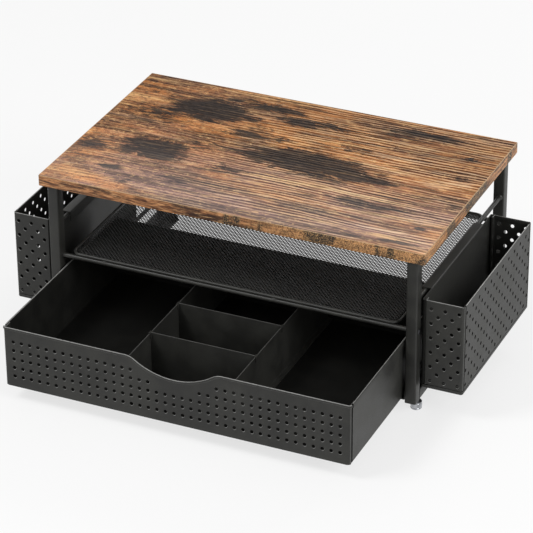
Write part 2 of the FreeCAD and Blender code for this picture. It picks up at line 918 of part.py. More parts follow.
def make_cross_divider(name, setback):
    """Lift-out divider between the long ones, with a saddle at each end that hooks over them."""
    wall = size.drawer_sheet
    top = size.drawer_height - size.divider_drop
    gap = 0.3
    reach = size.divider_offset - wall / 2 - gap
    outer = size.divider_offset + wall / 2 + gap
    body = new_body(name)
    plate = new_sketch(body, f"{name}_plate_outline", "XZ_Plane")
    rectangle(plate, -reach, wall + gap, reach, top + wall)
    pad(body, f"{name}_plate", plate, wall, symmetric=True)
    saddles = new_sketch(body, f"{name}_saddle_outline", "XZ_Plane")
    for sign in (-1, 1):
        outline(
            saddles,
            [
                ((reach - wall) * sign, top - size.divider_hook_drop),
                (reach * sign, top - size.divider_hook_drop),
                (reach * sign, top),
                (outer * sign, top),
                (outer * sign, top - size.divider_hook_drop),
                ((outer + wall) * sign, top - size.divider_hook_drop),
                ((outer + wall) * sign, top + wall),
                ((reach - wall) * sign, top + wall),
            ],
        )
    pad(body, f"{name}_saddles", saddles, size.divider_hook_length, symmetric=True)
    place_in_drawer(body, setback)
    keep(body, name)


# Pen holder, drawn for the right side with its frame-side face at x = 0, its front at y = 0 and its base at z = 0

def place_in_holder(thing):
    place(
        thing,
        size.holder_offset,
        -size.board_depth / 2 + size.holder_setback,
        holder_top - size.holder_height,
    )


def finish_holder_piece(body, name):
    """Place a right hand holder piece, and make the left hand one."""
    place_in_holder(body)
    keep(body, f"{name}_right")
    mirrored(body, f"{name}_left")


def make_holder_back():
    """Frame-side plate: returns at both ends, and a hook flange with a lip that hangs on the side rod."""
    wall = size.holder_back_sheet
    lap = size.holder_return
    width = size.holder_back_width
    length = size.holder_length
    base = size.holder_base_height
    top = size.holder_height
    body = new_body("holder_back_right")
    plan = new_sketch(body, "holder_back_plan", "XY_Plane", base)
    outline(
        plan,
        [
            (0.0, 0.0),
            (width, 0.0),
            (width, lap),
            (width - wall, lap),
            (width - wall, wall),
            (wall, wall),
            (wall, length - wall),
            (width - wall, length - wall),
            (width - wall, length - lap),
            (width, length - lap),
            (width, length),
            (0.0, length),
        ],
    )
    pad(body, "holder_back_sheet_pad", plan, top - base)
    hook = new_sketch(body, "hook_section", "XZ_Plane", -length / 2)
    outline(
        hook,
        [
            (0.0, top),
            (-size.hook_reach, top),
            (-size.hook_reach, top - size.hook_lip),
            (-size.hook_reach + wall, top - size.hook_lip),
            (-size.hook_reach + wall, top - wall),
            (0.0, top - wall),
        ],
    )
    pad(body, "hook", hook, size.hook_length, symmetric=True)
    finish_holder_piece(body, "holder_back")


def make_holder_end(name, mirror_lengthwise):
    """Perforated end panel with a hemmed rim, a square bend to the back plate and a round one to the side."""
    wall = size.holder_sheet
    radius = size.holder_corner_radius
    near = size.holder_back_width
    far = size.holder_width
    lap = size.holder_return
    base = size.holder_base_height
    inner = radius - wall
    joggle = radius + 0.2

    def along(y):
        return size.holder_length - y if mirror_lengthwise else Measure.of(y)

    turn = not mirror_lengthwise
    body = new_body(f"{name}_right")
    plan = new_sketch(body, f"{name}_plan", "XY_Plane", base)
    curved_outline(
        plan,
        (near, along(0.0)),
        [
            (far - radius, along(0.0)),
            (far, along(radius), radius, turn),
            (far - wall, along(joggle)),
            (far - wall, along(lap)),
            (far - wall * 2, along(lap)),
            (far - wall * 2, along(joggle)),
            (far - wall, along(radius)),
            (far - radius, along(wall), inner, not turn),
            (near + wall, along(wall)),
            (near + wall, along(lap)),
            (near, along(lap)),
            (near, along(0.0)),
        ],
    )
    pad(body, f"{name}_sheet", plan, size.holder_height - base)
    hem = new_sketch(body, f"{name}_hem_plan", "XY_Plane", size.holder_height - size.holder_hem_height)
    hem_left = near + wall
    hem_right = far - radius
    outline(
        hem,
        [
            (hem_left, along(wall)),
            (hem_right, along(wall)),
            (hem_right, along(wall * 2)),
            (hem_left, along(wall * 2)),
        ],
    )
    pad(body, f"{name}_hem", hem, size.holder_hem_height)

    middle = (near + far) / 2
    pitch = size.holder_end_pitch
    face = along(0.0)
    for column in range(HOLDER_END_COLUMNS):
        short = column % 2
        seed = new_sketch(body, f"{name}_hole_{column + 1}", "XZ_Plane", -face)
        across = middle + pitch * (column - (HOLDER_END_COLUMNS - 1) / 2)
        count = HOLDER_LONG_ROWS - short
        span = size.holder_hole_rise * 2 * (count - 1)
        top_hole = size.holder_height - size.holder_hole_drop - size.holder_hole_rise * short
        diamond(seed, across, top_hole - span)
        hole = body.newObject("PartDesign::Pocket", f"{name}_seed_{column + 1}")
        hole.Profile = seed
        hole.SideType = "Symmetric"
        bind(hole, "Length", wall * 2 + 1.0)
        repeat(body, f"{name}_column_{column + 1}", hole, [("Z_Axis", span, count)])
    finish_holder_piece(body, name)


def make_holder_side():
    """Perforated long outer panel with a hemmed rim."""
    wall = size.holder_sheet
    start = size.holder_corner_radius + 0.2
    far = size.holder_width
    base = size.holder_base_height
    length = size.holder_length
    body = new_body("holder_side_right")
    face = new_sketch(body, "holder_side_outline", "YZ_Plane", far - wall)
    rectangle(face, start, base, length - start, size.holder_height)
    pad(body, "holder_side_sheet", face, wall)
    hem = new_sketch(body, "holder_side_hem_outline", "YZ_Plane", far - wall * 2)
    inset = size.holder_return + 0.2
    rectangle(hem, inset, size.holder_height - size.holder_hem_height, length - inset, size.holder_height)
    pad(body, "holder_side_hem", hem, wall)
    pitch = size.holder_side_pitch
    first = length / 2 - pitch * (HOLDER_SIDE_COLUMNS - 1) / 2
    columns = HOLDER_SIDE_COLUMNS // 2
    for short in (0, 1):
        rows = HOLDER_LONG_ROWS - short
        span = size.holder_hole_rise * 2 * (rows - 1)
        top_hole = size.holder_height - size.holder_hole_drop - size.holder_hole_rise * short
        seed = new_sketch(body, f"holder_side_hole_{short + 1}", "YZ_Plane", far)
        diamond(seed, first + pitch * short, top_hole - span)
        hole = body.newObject("PartDesign::Pocket", f"holder_side_seed_{short + 1}")
        hole.Profile = seed
        hole.SideType = "Symmetric"
        bind(hole, "Length", wall * 2 + 1.0)
        repeat(
            body,
            f"holder_side_rows_{short + 1}",
            hole,
            [("Y_Axis", pitch * 2 * (columns - 1), columns), ("Z_Axis", span, rows)],
        )
    finish_holder_piece(body, "holder_side")


def make_holder_base():
    """Pan under the panels: its rim is flush with them, and an inner lip follows their corner flanges."""
    wall = size.holder_sheet
    far = size.holder_width
    length = size.holder_length
    play = 0.4
    lip = 0.8

    def lip_outline(inset):
        back = size.holder_back_sheet + play + inset
        flange = size.holder_back_width + wall + play + inset
        side = far - wall * 2 - play - inset
        end = wall + play + inset
        notch = size.holder_return + play + inset
        return [
            (flange, end),
            (side, end),
            (side, length - end),
            (flange, length - end),
            (flange, length - notch),
            (back, length - notch),
            (back, notch),
            (flange, notch),
        ]

    body = new_body("holder_base_right")
    pan = new_sketch(body, "holder_base_outline", "XY_Plane")
    rectangle(pan, 0.0, 0.0, far, length)
    pad(body, "holder_base_block", pan, size.holder_base_height)
    ring = new_sketch(body, "holder_base_lip_outline", "XY_Plane", size.holder_base_height)
    outline(ring, lip_outline(0.0))
    pad(body, "holder_base_lip_block", ring, size.holder_base_lip - size.holder_base_height)
    hollow = new_sketch(body, "holder_base_hollow_outline", "XY_Plane", size.holder_base_lip)
    outline(hollow, lip_outline(lip))
    cavity = body.newObject("PartDesign::Pocket", "holder_base_hollow")
    cavity.Profile = hollow
    bind(cavity, "Length", size.holder_base_lip - wall)
    finish_holder_piece(body, "holder_base")


def make_holder_bumpers():
    """Two rubber buttons low on the back plate that lean on the lower side rod."""
    height = size.lower_rod_height - (holder_top - size.holder_height)
    buttons = []
    for end, along in (("front", size.bumper_inset), ("rear", size.holder_length - size.bumper_inset)):
        body = new_body(f"bumper_{end}")
        face = new_sketch(body, f"bumper_{end}_outline", "YZ_Plane")
        many_sided(face, along, height, size.bumper_diameter, ROD_SIDES)
        pad(body, f"bumper_{end}_button", face, size.bumper_thickness, reverse=True)
        buttons.append(body)
    group = doc.addObject("Part::Compound", "bumper_pair")
    group.Links = buttons
    finish_holder_piece(group, "holder_bumpers")


make_board()
machine_screws = []
wood_screws = []
foot_nuts = []
for side in SIDES:
    for end in ENDS:
        make_leg(side, end)
        make_foot(side, end)
        machine_screws.append(make_machine_screw(f"machine_screw_{end}_{side}", side, end))
        foot_nuts.append(make_foot_nut(f"nut_{end}_{side}", side, end))
    make_rail(side, "top", top_rail_bottom)
    make_rail(side, "bottom", rail_bottom)
    make_side_rod(f"hanging_rod_{side}", side, hanger_rod_height)
    make_side_rod(f"lower_rod_{side}", side, size.lower_rod_height)
    for end, step in ENDS.items():
        wood_screws.append(make_wood_screw(f"wood_screw_{end}_{side}", side, step))
group_of(machine_screws, "crossbar_screws")
group_of(wood_screws, "board_screws")
group_of(foot_nuts, "foot_nuts")
for end in ENDS:
    make_crossbar(end)
make_shelf()
make_runners()
make_drawer_tray()
make_drawer_front()
make_long_dividers()
make_cross_divider("cross_divider_front", size.front_divider_setback)
make_cross_divider("cross_divider_rear", size.rear_divider_setback)
make_holder_back()
make_holder_end("holder_front_end", False)
make_holder_end("holder_rear_end", True)
make_holder_side()
make_holder_base()
make_holder_bumpers()
doc.recompute()

for thing in doc.Objects:
    if "Invalid" in thing.State or "Error" in thing.State:
        raise RuntimeError(f"{thing.Label} did not compute: {thing.State}")
os.makedirs("parts", exist_ok=True)
for part in subparts:
    if part.Shape.isNull() or not part.Shape.isValid() or not part.Shape.Solids:
        raise RuntimeError(f"{part.Label} has no valid solid")
    part.Shape.exportStep(f"parts/{part.Label}.step")
    box = part.Shape.BoundBox
    print(
        f"{part.Label:24s} solids {len(part.Shape.Solids)} volume {part.Shape.Volume:10.1f} "
        f"x {box.XMin:7.1f} {box.XMax:7.1f} y {box.YMin:7.1f} {box.YMax:7.1f} z {box.ZMin:6.1f} {box.ZMax:6.1f}"
    )
print(f"{len(subparts)} sub-parts")
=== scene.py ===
"""Desktop printer stand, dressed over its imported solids.

Every class below owns one sub-assembly: its fields hold the sizes in millimetres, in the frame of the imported
part (origin on the desk, -Y to the front, +Z up), and its methods build the visible pieces and let them ride
on the body that carries them. Perforations, mesh, wires and fasteners are grown by Geometry Nodes trees that
are built here too.
"""

from __future__ import annotations

import logging
import math
import sys
from collections.abc import Sequence
from dataclasses import asdict, dataclass
from enum import Enum

import bmesh
import bpy
from mathutils import Matrix, Vector

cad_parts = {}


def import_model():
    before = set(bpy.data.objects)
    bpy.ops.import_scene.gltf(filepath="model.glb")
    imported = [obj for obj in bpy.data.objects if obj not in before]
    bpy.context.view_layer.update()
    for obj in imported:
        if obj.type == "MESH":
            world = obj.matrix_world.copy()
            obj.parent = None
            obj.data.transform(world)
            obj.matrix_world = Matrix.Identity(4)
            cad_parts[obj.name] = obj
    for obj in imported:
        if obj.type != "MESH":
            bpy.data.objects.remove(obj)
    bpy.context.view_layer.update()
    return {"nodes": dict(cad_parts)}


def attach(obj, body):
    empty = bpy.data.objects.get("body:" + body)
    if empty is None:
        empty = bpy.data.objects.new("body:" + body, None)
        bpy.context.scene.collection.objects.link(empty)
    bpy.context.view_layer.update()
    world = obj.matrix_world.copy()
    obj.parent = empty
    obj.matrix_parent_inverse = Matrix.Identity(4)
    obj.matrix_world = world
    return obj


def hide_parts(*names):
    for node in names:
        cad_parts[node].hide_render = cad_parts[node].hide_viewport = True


LOG = logging.getLogger("printer_stand")
MM = 0.001
METRES = Matrix.Identity(4)
SCALE = Matrix.Diagonal((MM, MM, MM, 1.0))

Pair = tuple[float, float]
Triple = tuple[float, float, float]
Line = Sequence[Pair]
Mesh = bpy.types.Mesh
Material = bpy.types.Material
Socket = bpy.types.NodeSocket
Grown = tuple[Mesh, Matrix]


class Slot(Enum):
    """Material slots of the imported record."""

    BOARD = "board"
    BANDING = "banding"
    FRAME = "frame"
    SHEET = "sheet"
    MESH = "mesh"
    CHROME = "chrome"
    NUT = "nut"
    SCREW = "screw"
    RUBBER = "rubber"


class Half(Enum):
    """A half of the stand, as a sign."""

    @property
    def word(self) -> str:
        """The half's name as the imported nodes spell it."""
        return self.name.lower()


class Side(Half):
    """Left or right, as the sign of X."""

    LEFT = -1
    RIGHT = 1


class End(Half):
    """Front or rear, as the sign of Y."""

    FRONT = -1
    REAR = 1


class Run(Enum):
    """Axis that a section is drawn out along: the places of its two coordinates and of the run."""

    X = (1, 2, 0)
    Y = (0, 2, 1)
    Z = (0, 1, 2)

    def spot(self, across: float, up: float, along: float) -> Triple:
        """The point at two coordinates of a section and a distance along the run."""
        point = dict(zip(self.value, (across, up, along)))
        return (point[0], point[1], point[2])


# Outlines in a plane


def arc(centre: Pair, radius: float, start: float, end: float, steps: int) -> list[Pair]:
    """Points of an arc between two angles in degrees, both ends included."""
    angles = [math.radians(start + (end - start) * step / steps) for step in range(steps + 1)]
    return [(centre[0] + radius * math.cos(angle), centre[1] + radius * math.sin(angle)) for angle in angles]


def ring(radius: float, up: float, sides: int) -> list[Triple]:
    """Points of a level circle about Z."""
    angles = [math.tau * index / sides for index in range(sides)]
    return [(radius * math.cos(angle), radius * math.sin(angle), up) for angle in angles]


def rounded(corners: Line, radius: float, steps: int = 4, closed: bool = True) -> list[Pair]:
    """Rounds the corners of a line.

    Args:
        corners: The line's corner points.
        radius: Radius of every corner, less where the runs are too short for it.
        steps: Chords in each corner.
        closed: Whether the last point joins the first.

    Returns:
        The line with round corners.
    """
    line: list[Pair] = []
    count = len(corners)
    for index, corner in enumerate(corners):
        here = Vector(corner)
        back = Vector(corners[index - 1]) - here
        ahead = Vector(corners[(index + 1) % count]) - here
        half = back.angle(ahead) / 2 if closed or 0 < index < count - 1 else math.pi / 2
        if half > math.radians(89):
            line.append(corner)
            continue
        cut = min(radius / math.tan(half), back.length * 0.499, ahead.length * 0.499)
        size = cut * math.tan(half)
        middle = here + (back.normalized() + ahead.normalized()).normalized() * (size / math.sin(half))
        first = here + back.normalized() * cut - middle
        last = here + ahead.normalized() * cut - middle
        sweep = math.degrees(math.atan2(first.x * last.y - first.y * last.x, first.dot(last)))
        begin = math.degrees(math.atan2(first.y, first.x))
        line += arc((middle.x, middle.y), size, begin, begin + sweep, steps)
    return line


def normals(line: Line, closed: bool) -> list[Vector]:
    """Mitred normals, to the right of a line's direction.

    Args:
        line: Points of the line.
        closed: Whether the last point joins the first.

    Returns:
        One vector for each point, as long as keeps an offset line parallel.
    """
    found = []
    count = len(line)
    for index in range(count):
        sides = []
        for start in (index - 1, index):
            if closed or 0 <= start < count - 1:
                step = Vector(line[(start + 1) % count]) - Vector(line[start])
                sides.append(Vector((step.y, -step.x)).normalized())
        total = sum(sides, Vector((0.0, 0.0))).normalized()
        found.append(total / max(total.dot(sides[0]), 0.2))
    return found


def shifted(line: Line, distance: float, closed: bool = False) -> list[Pair]:
    """A line moved sideways to its right."""
    return [(x + n.x * distance, y + n.y * distance) for (x, y), n in zip(line, normals(line, closed))]


def folded(line: Line, thickness: float, bend: float, steps: int = 4) -> list[Pair]:
    """Closed outline of a folded sheet, from the corners and the bend radius of its middle line."""
    middle = rounded(line, bend, steps, closed=False)
    return shifted(middle, thickness / 2) + shifted(middle, -thickness / 2)[::-1]


def rectangle(low: Pair, high: Pair) -> list[Pair]:
    """Four corners of an upright rectangle."""
    return [low, (high[0], low[1]), high, (low[0], high[1])]


def centred(x: float, y: float) -> list[Pair]:
    """Four corners of a rectangle about 0, from half its sizes."""
    return rectangle((-x, -y), (x, y))


def corner_wrap(edge: float, radius: float, sheet: float, reach: float) -> list[Pair]:
    """Section of a sheet that is wrapped round an upright corner and lapped behind the next panel.

    Args:
        edge: Place of its outer face across.
        radius: Outer radius of the corner.
        sheet: Thickness of the sheet.
        reach: How far the lap reaches behind the middle of the bend.

    Returns:
        Pairs of the place across and the distance behind the middle of the bend.
    """
    centre, step = (edge - radius, 0.0), sheet + 0.05
    lap = [(0.15, 0.1), (step, 0.35), (step, reach), (sheet * 2, reach), (sheet * 2, 0.6)]
    outer, inner = arc(centre, radius, -90, 0, 8), arc(centre, radius - sheet, 0, -90, 8)
    return outer + [(edge - inward, behind) for inward, behind in lap] + inner


def rim_section(sheet: float, hem: float, hem_depth: float, inward: float, start: float) -> list[Pair]:
    """Section of a round sheet edge, with or without a hem behind it, for a path along the edge.

    Args:
        sheet: Thickness of the sheet.
        hem: Thickness of the hem, or 0 for a plain edge.
        hem_depth: How far the hem reaches down.
        inward: Sign of the way from the face to the back along the run.
        start: Place of the face along the run.

    Returns:
        The section for Shell.sweep, the distance out being upward.
    """
    total = sheet + hem
    half, depth = total / 2, min(1.0, total / 2)
    angles = [math.radians(angle) for angle in range(0, 181, 20)]
    section = [(-depth + depth * math.sin(angle), half - half * math.cos(angle)) for angle in angles]
    if hem:
        section += [(-hem_depth + 0.2, total), (-hem_depth, total - 0.25)]
        section += [(-hem_depth, sheet + 0.1), (-depth, sheet + 0.02)]
    return [(out, start + inward * along) for out, along in section]


class Shell:
    """Closed shells of one piece, gathered in millimetres."""

    def __init__(self) -> None:
        """Starts with no points, no faces and nothing worn or painted with light."""
        self.points: list[Triple] = []
        self.faces: list[tuple[int, ...]] = []
        self.worn: dict[int, float] = {}

    def skin(
        self, rings: Sequence[Sequence[Triple]], looped: bool = False, worn: dict[int, float] | None = None
    ) -> Shell:
        """Joins rings of as many points each with quads, and closes both ends unless looped.

        Args:
            rings: The rings in turn.
            looped: Whether the last ring joins the first.
            worn: Wear and painted highlight above 0, painted shade below 0, by the faces' place round the rings.

        Returns:
            This shell.
        """
        starts = []
        for points in rings:
            starts.append(len(self.points))
            self.points += points
        count = len(rings[0])
        for near, far in zip(starts, starts[1:] + starts[:1] if looped else starts[1:]):
            for index in range(count):
                after = (index + 1) % count
                if worn and index in worn:
                    self.worn[len(self.faces)] = worn[index]
                self.faces.append((near + index, near + after, far + after, far + index))
        if not looped:
            self.faces.append(tuple(starts[0] + index for index in range(count))[::-1])
            self.faces.append(tuple(starts[-1] + index for index in range(count)))
        return self

    def take(self, mesh: Mesh, matrix: Matrix) -> Shell:
        """Takes in a grown mesh.

        Args:
            mesh: The mesh.
            matrix: What takes it to metres in the part's frame.

        Returns:
            This shell.
        """
        start = len(self.points)
        wear = mesh.attributes.get("wear")
        self.points += [tuple((matrix @ vertex.co) / MM) for vertex in mesh.vertices]
        for polygon in mesh.polygons:
            if wear and wear.data[polygon.index].value:
                self.worn[len(self.faces)] = wear.data[polygon.index].value
            self.faces.append(tuple(start + corner for corner in polygon.vertices))
        return self

    def prism(
        self, outline: Line, run: Run, low: float, high: float, worn: dict[int, float] | None = None
    ) -> Shell:
        """Draws a closed outline out along an axis, from low to high."""
        return self.skin([[run.spot(a, b, along) for a, b in outline] for along in (low, high)], worn=worn)

    def softened(
        self,
        outline: Line,
        run: Run,
        low: float,
        high: float,
        edge: float,
        wear: float = 1.0,
        worn: dict[int, float] | None = None,
    ) -> Shell:
        """Draws a closed outline out along an axis, with round edges at both ends.

        Args:
            outline: The section, counterclockwise in its own plane or not.
            run: The axis.
            low: Where it starts.
            high: Where it ends.
            edge: Radius of the edges.
            wear: How bright the edges are worn and painted with highlight.
            worn: How much sides of the section are worn and painted with highlight, or painted with shade in a seam,
                all along.

        Returns:
            This shell.
        """
        area = sum(a[0] * b[1] - b[0] * a[1] for a, b in zip(outline, [*outline[1:], outline[0]]))
        turn = 1.0 if area > 0 else -1.0
        angles = [math.radians(angle) for angle in (90, 60, 30, 0)]
        rings = [(low + edge * (1 - math.sin(angle)), edge * (1 - math.cos(angle))) for angle in angles]
        rings += [(high + low - along, inset) for along, inset in rings[::-1]]
        first, count = len(self.faces), len(outline)
        lines = [(shifted(outline, -inset * turn, True), along) for along, inset in rings]
        self.skin([[run.spot(a, b, along) for a, b in line] for line, along in lines])
        for step in range(len(rings) - 1):
            start = first + step * count
            if high - low < 2.0 or step != len(angles) - 1:
                self.worn |= {start + index: wear for index in range(count)}
            self.worn |= {start + index: value for index, value in (worn or {}).items()}
        return self

    def hollow(self, outer: Line, inner: Line, run: Run, low: float, high: float) -> Shell:
        """A tube from low to high between two outlines of as many points each."""
        rings = [(inner, low + 0.25), (inner, low), (outer, low), (outer, high), (inner, high)]
        return self.skin([[run.spot(a, b, along) for a, b in line] for line, along in rings], looped=True)

    def sweep(
        self,
        section: Line,
        path: Line,
        run: Run,
        looped: bool = False,
        worn: dict[int, float] | None = None,
        tapered: float = 1.0,
    ) -> Shell:
        """Carries a section along a path that lies across an axis.

        Args:
            section: Pairs of the distance out along the path's right hand normal, and the place along the axis.
            path: The path.
            run: The axis.
            looped: Whether the path is closed.
            worn: How much sides of the section are worn and painted with highlight, or painted with shade below 0.
            tapered: How much of what stands out is left at both ends of the path.

        Returns:
            This shell.
        """
        rings = []
        for index, ((x, y), out) in enumerate(zip(path, normals(path, looped))):
            share = 1.0 if looped or 0 < index < len(path) - 1 else tapered
            line = [(a * share if a > 0 else a, along) for a, along in section]
            rings.append([run.spot(x + out.x * a, y + out.y * a, along) for a, along in line])
        return self.skin(rings, looped, worn)

    def shaded(self, before: float, value: float) -> Shell:
        """Paints shade on the faces that lie wholly in front of a place along Y.

        Args:
            before: The place.
            value: How dark they are, below 0.

        Returns:
            This shell.
        """
        for index, face in enumerate(self.faces):
            if all(self.points[corner][1] < before for corner in face):
                self.worn[index] = value
        return self

    def lathe(self, profile: Line, centre: Triple, run: Run, sides: int) -> Shell:
        """Turns a profile about an axis.

        Args:
            profile: Pairs of radius and place along the axis, from one end to the other.
            centre: A point on the axis, whose place along it is added to the profile's.
            run: The axis.
            sides: Corners of each ring.

        Returns:
            This shell.
        """
        across, up, along = (centre[place] for place in run.value)
        turned = [ring(radius, height, sides) for radius, height in profile]
        return self.skin([[run.spot(across + x, up + y, along + z) for x, y, z in points] for points in turned])

    def moved(self, x: float, y: float) -> Shell:
        """Moves every point across the desk."""
        self.points = [(a + x, b + y, c) for a, b, c in self.points]
        return self

    def mesh(self, name: str, mirror: bool = False) -> Mesh:
        """Makes a mesh in metres.

        Args:
            name: Name of the mesh.
            mirror: Whether X is mirrored.

        Returns:
            The mesh.
        """
        flip = -1.0 if mirror else 1.0
        made = bpy.data.meshes.new(name)
        made.from_pydata([(x * MM * flip, y * MM, z * MM) for x, y, z in self.points], [], self.faces)
        if self.worn:
            wear = made.attributes.new("wear", "FLOAT", "FACE")
            for index, value in self.worn.items():
                wear.data[index].value = value
        return made


def tidy_mesh(mesh: Mesh, smooth_below: float) -> None:
    """Turns every face outward and smooths the shallow edges.

    Args:
        mesh: The mesh, changed in place.
        smooth_below: Edges less bent than this, in degrees, are smooth.
    """
    work = bmesh.new()
    work.from_mesh(mesh)
    bmesh.ops.dissolve_degenerate(work, dist=1e-7, edges=work.edges)
    bmesh.ops.recalc_face_normals(work, faces=work.faces)
    for face in work.faces:
        face.smooth = True
    work.to_mesh(mesh)
    work.free()
    mesh.set_sharp_from_angle(angle=math.radians(smooth_below))
    mesh.update()


def scene_object(name: str, data: bpy.types.ID) -> bpy.types.Object:
    """Puts a new object into the scene.

    Args:
        name: Its name.
        data: Its mesh, light or camera.

    Returns:
        The object.
    """
    made = bpy.data.objects.new(name, data)
    bpy.context.scene.collection.objects.link(made)
    return made


# Node trees


class Graph:
    """A node tree while it is being built."""

    def __init__(self, tree: bpy.types.NodeTree) -> None:
        """Takes up a tree."""
        self.tree = tree

    def add(self, kind: str, wires: dict | None = None, **settings: object) -> bpy.types.Node:
        """Adds a node.

        Args:
            kind: Its type.
            wires: Values or sockets by the input's name or place.
            **settings: Its properties.

        Returns:
            The node.
        """
        made = self.tree.nodes.new(kind)
        for name, value in settings.items():
            setattr(made, name, value)
        for where, value in (wires or {}).items():
            if isinstance(value, Socket):
                self.tree.links.new(value, made.inputs[where])
            else:
                made.inputs[where].default_value = value
        return made

    def math(self, operation: str, *values: object) -> Socket:
        """Adds a Math node."""
        return self.add("ShaderNodeMath", dict(enumerate(values)), operation=operation).outputs[0]

    def plus(self, first: object, second: object) -> Socket:
        """Adds two values."""
        return self.math("ADD", first, second)

    def minus(self, first: object, second: object) -> Socket:
        """Takes the second value from the first."""
        return self.math("SUBTRACT", first, second)

    def times(self, first: object, second: object) -> Socket:
        """Multiplies two values."""
        return self.math("MULTIPLY", first, second)

    def over(self, first: object, second: object) -> Socket:
        """Divides the first value by the second."""
        return self.math("DIVIDE", first, second)

    def vector(self, operation: str, *values: object, output: int = 0) -> Socket:
        """Adds a Vector Math node and gives one of its outputs."""
        return self.add("ShaderNodeVectorMath", dict(enumerate(values)), operation=operation).outputs[output]

    def triple(self, *values: object) -> Socket:
        """Joins up to three values into a vector."""
        return self.add("ShaderNodeCombineXYZ", dict(enumerate(values))).outputs[0]

    def parts(self, vector: Socket) -> list[Socket]:
        """Splits a vector into its three values."""
        return list(self.add("ShaderNodeSeparateXYZ", {0: vector}).outputs)


class Tree(Graph):
    """A Geometry Nodes tree with one geometry input and one geometry output."""

    def __init__(self, name: str) -> None:
        """Starts the tree.

        Args:
            name: Name of the tree.
        """
        super().__init__(bpy.data.node_groups.new(name, "GeometryNodeTree"))
        for way in ("INPUT", "OUTPUT"):
            self.tree.interface.new_socket("Geometry", in_out=way, socket_type="NodeSocketGeometry")
        self.entry = self.tree.nodes.new("NodeGroupInput")
        self.exit = self.tree.nodes.new("NodeGroupOutput")
        self.start = self.entry.outputs["Geometry"]

    def inputs(self, **defaults: object) -> list[Socket]:
        """Adds named inputs.

        Args:
            **defaults: A number, or "Object" or "Material", by the input's name with _ for each space.

        Returns:
            The sockets to link from, in turn.
        """
        found = []
        for name, default in defaults.items():
            kind = default if isinstance(default, str) else {int: "Int", float: "Float"}[type(default)]
            title = name.replace("_", " ").title()
            socket = self.tree.interface.new_socket(title, in_out="INPUT", socket_type=f"NodeSocket{kind}")
            if kind != default:
                socket.default_value = default
            found.append(self.entry.outputs[title])
        return found

    def grow(self, kind: str, wires: dict | None = None, **settings: object) -> Socket:
        """Adds a geometry node, named without its prefix, and gives its first output."""
        return self.add(f"GeometryNode{kind}", wires, **settings).outputs[0]

    def whole(self, operation: str, *values: object) -> Socket:
        """Adds an Integer Math node."""
        return self.add("FunctionNodeIntegerMath", dict(enumerate(values)), operation=operation).outputs[0]

    def without(self, geometry: Socket, gone: Socket, domain: str) -> Socket:
        """Deletes the selected part of some geometry."""
        return self.grow("DeleteGeometry", {"Geometry": geometry, "Selection": gone}, domain=domain)

    def copies(self, points: Socket, shape: Socket) -> Socket:
        """Sets a real copy of a shape at every point."""
        spread = self.grow("InstanceOnPoints", {"Points": points, "Instance": shape})
        return self.grow("RealizeInstances", {0: spread})

    def moved(self, geometry: Socket, along_z: Socket) -> Socket:
        """Moves geometry along Z."""
        return self.grow("Transform", {"Geometry": geometry, "Translation": self.triple(0.0, 0.0, along_z)})

    def join(self, *pieces: Socket) -> Socket:
        """Joins geometry.

        Args:
            *pieces: What is joined.

        Returns:
            The joined geometry.
        """
        made = self.tree.nodes.new("GeometryNodeJoinGeometry")
        for piece in pieces:
            self.tree.links.new(piece, made.inputs[0])
        return made.outputs[0]

    def close(self, geometry: Socket, material: Socket) -> bpy.types.NodeTree:
        """Ends the tree: instances become real and take the material.

        Args:
            geometry: What the tree has made.
            material: The material input.

        Returns:
            The finished tree.
        """
        real = self.grow("RealizeInstances", {0: geometry})
        painted = self.grow("SetMaterial", {"Geometry": real, "Material": material})
        self.tree.links.new(painted, self.exit.inputs[0])
        return self.tree


class Grower:
    """Grows meshes with a tree of its own, in millimetres."""

    def __init__(self) -> None:
        """Builds the tree."""
        self.tree = self.plan()

    def plan(self) -> bpy.types.NodeTree:
        """Builds the tree that a kind of grower uses."""
        raise NotImplementedError

    def grown(self, base: Mesh, **values: object) -> Mesh:
        """Runs the tree over a base mesh and keeps the result as a plain mesh.

        Args:
            base: What the tree starts from.
            **values: The tree's inputs, with _ for each space.

        Returns:
            The grown mesh, in the units of the base.
        """
        titled = {name.replace("_", " ").title(): value for name, value in values.items()}
        carrier = scene_object("carrier", base)
        modifier = carrier.modifiers.new("growth", "NODES")
        modifier.node_group = self.tree
        for item in self.tree.interface.items_tree:
            if item.item_type == "SOCKET" and item.in_out == "INPUT" and item.name in titled:
                modifier[item.identifier] = titled[item.name]
        graph = bpy.context.evaluated_depsgraph_get()
        made = bpy.data.meshes.new_from_object(carrier.evaluated_get(graph), depsgraph=graph)
        carrier.modifiers.remove(modifier)
        bpy.data.objects.remove(carrier)
        return made

    def along(self, line: Sequence[Triple], closed: bool, **values: object) -> Mesh:
        """Runs the tree over a mesh of edges along a line.

        Args:
            line: Points of the line.
            closed: Whether it is a loop.
            **values: The tree's inputs, with _ for each space.

        Returns:
            The grown mesh, in the units of the points.
        """
        edges = [(index, index + 1) for index in range(len(line) - 1)]
        if closed:
            edges.append((len(line) - 1, 0))
        made = bpy.data.meshes.new("line")
        made.from_pydata(line, edges, [])
        return self.grown(made, **values)


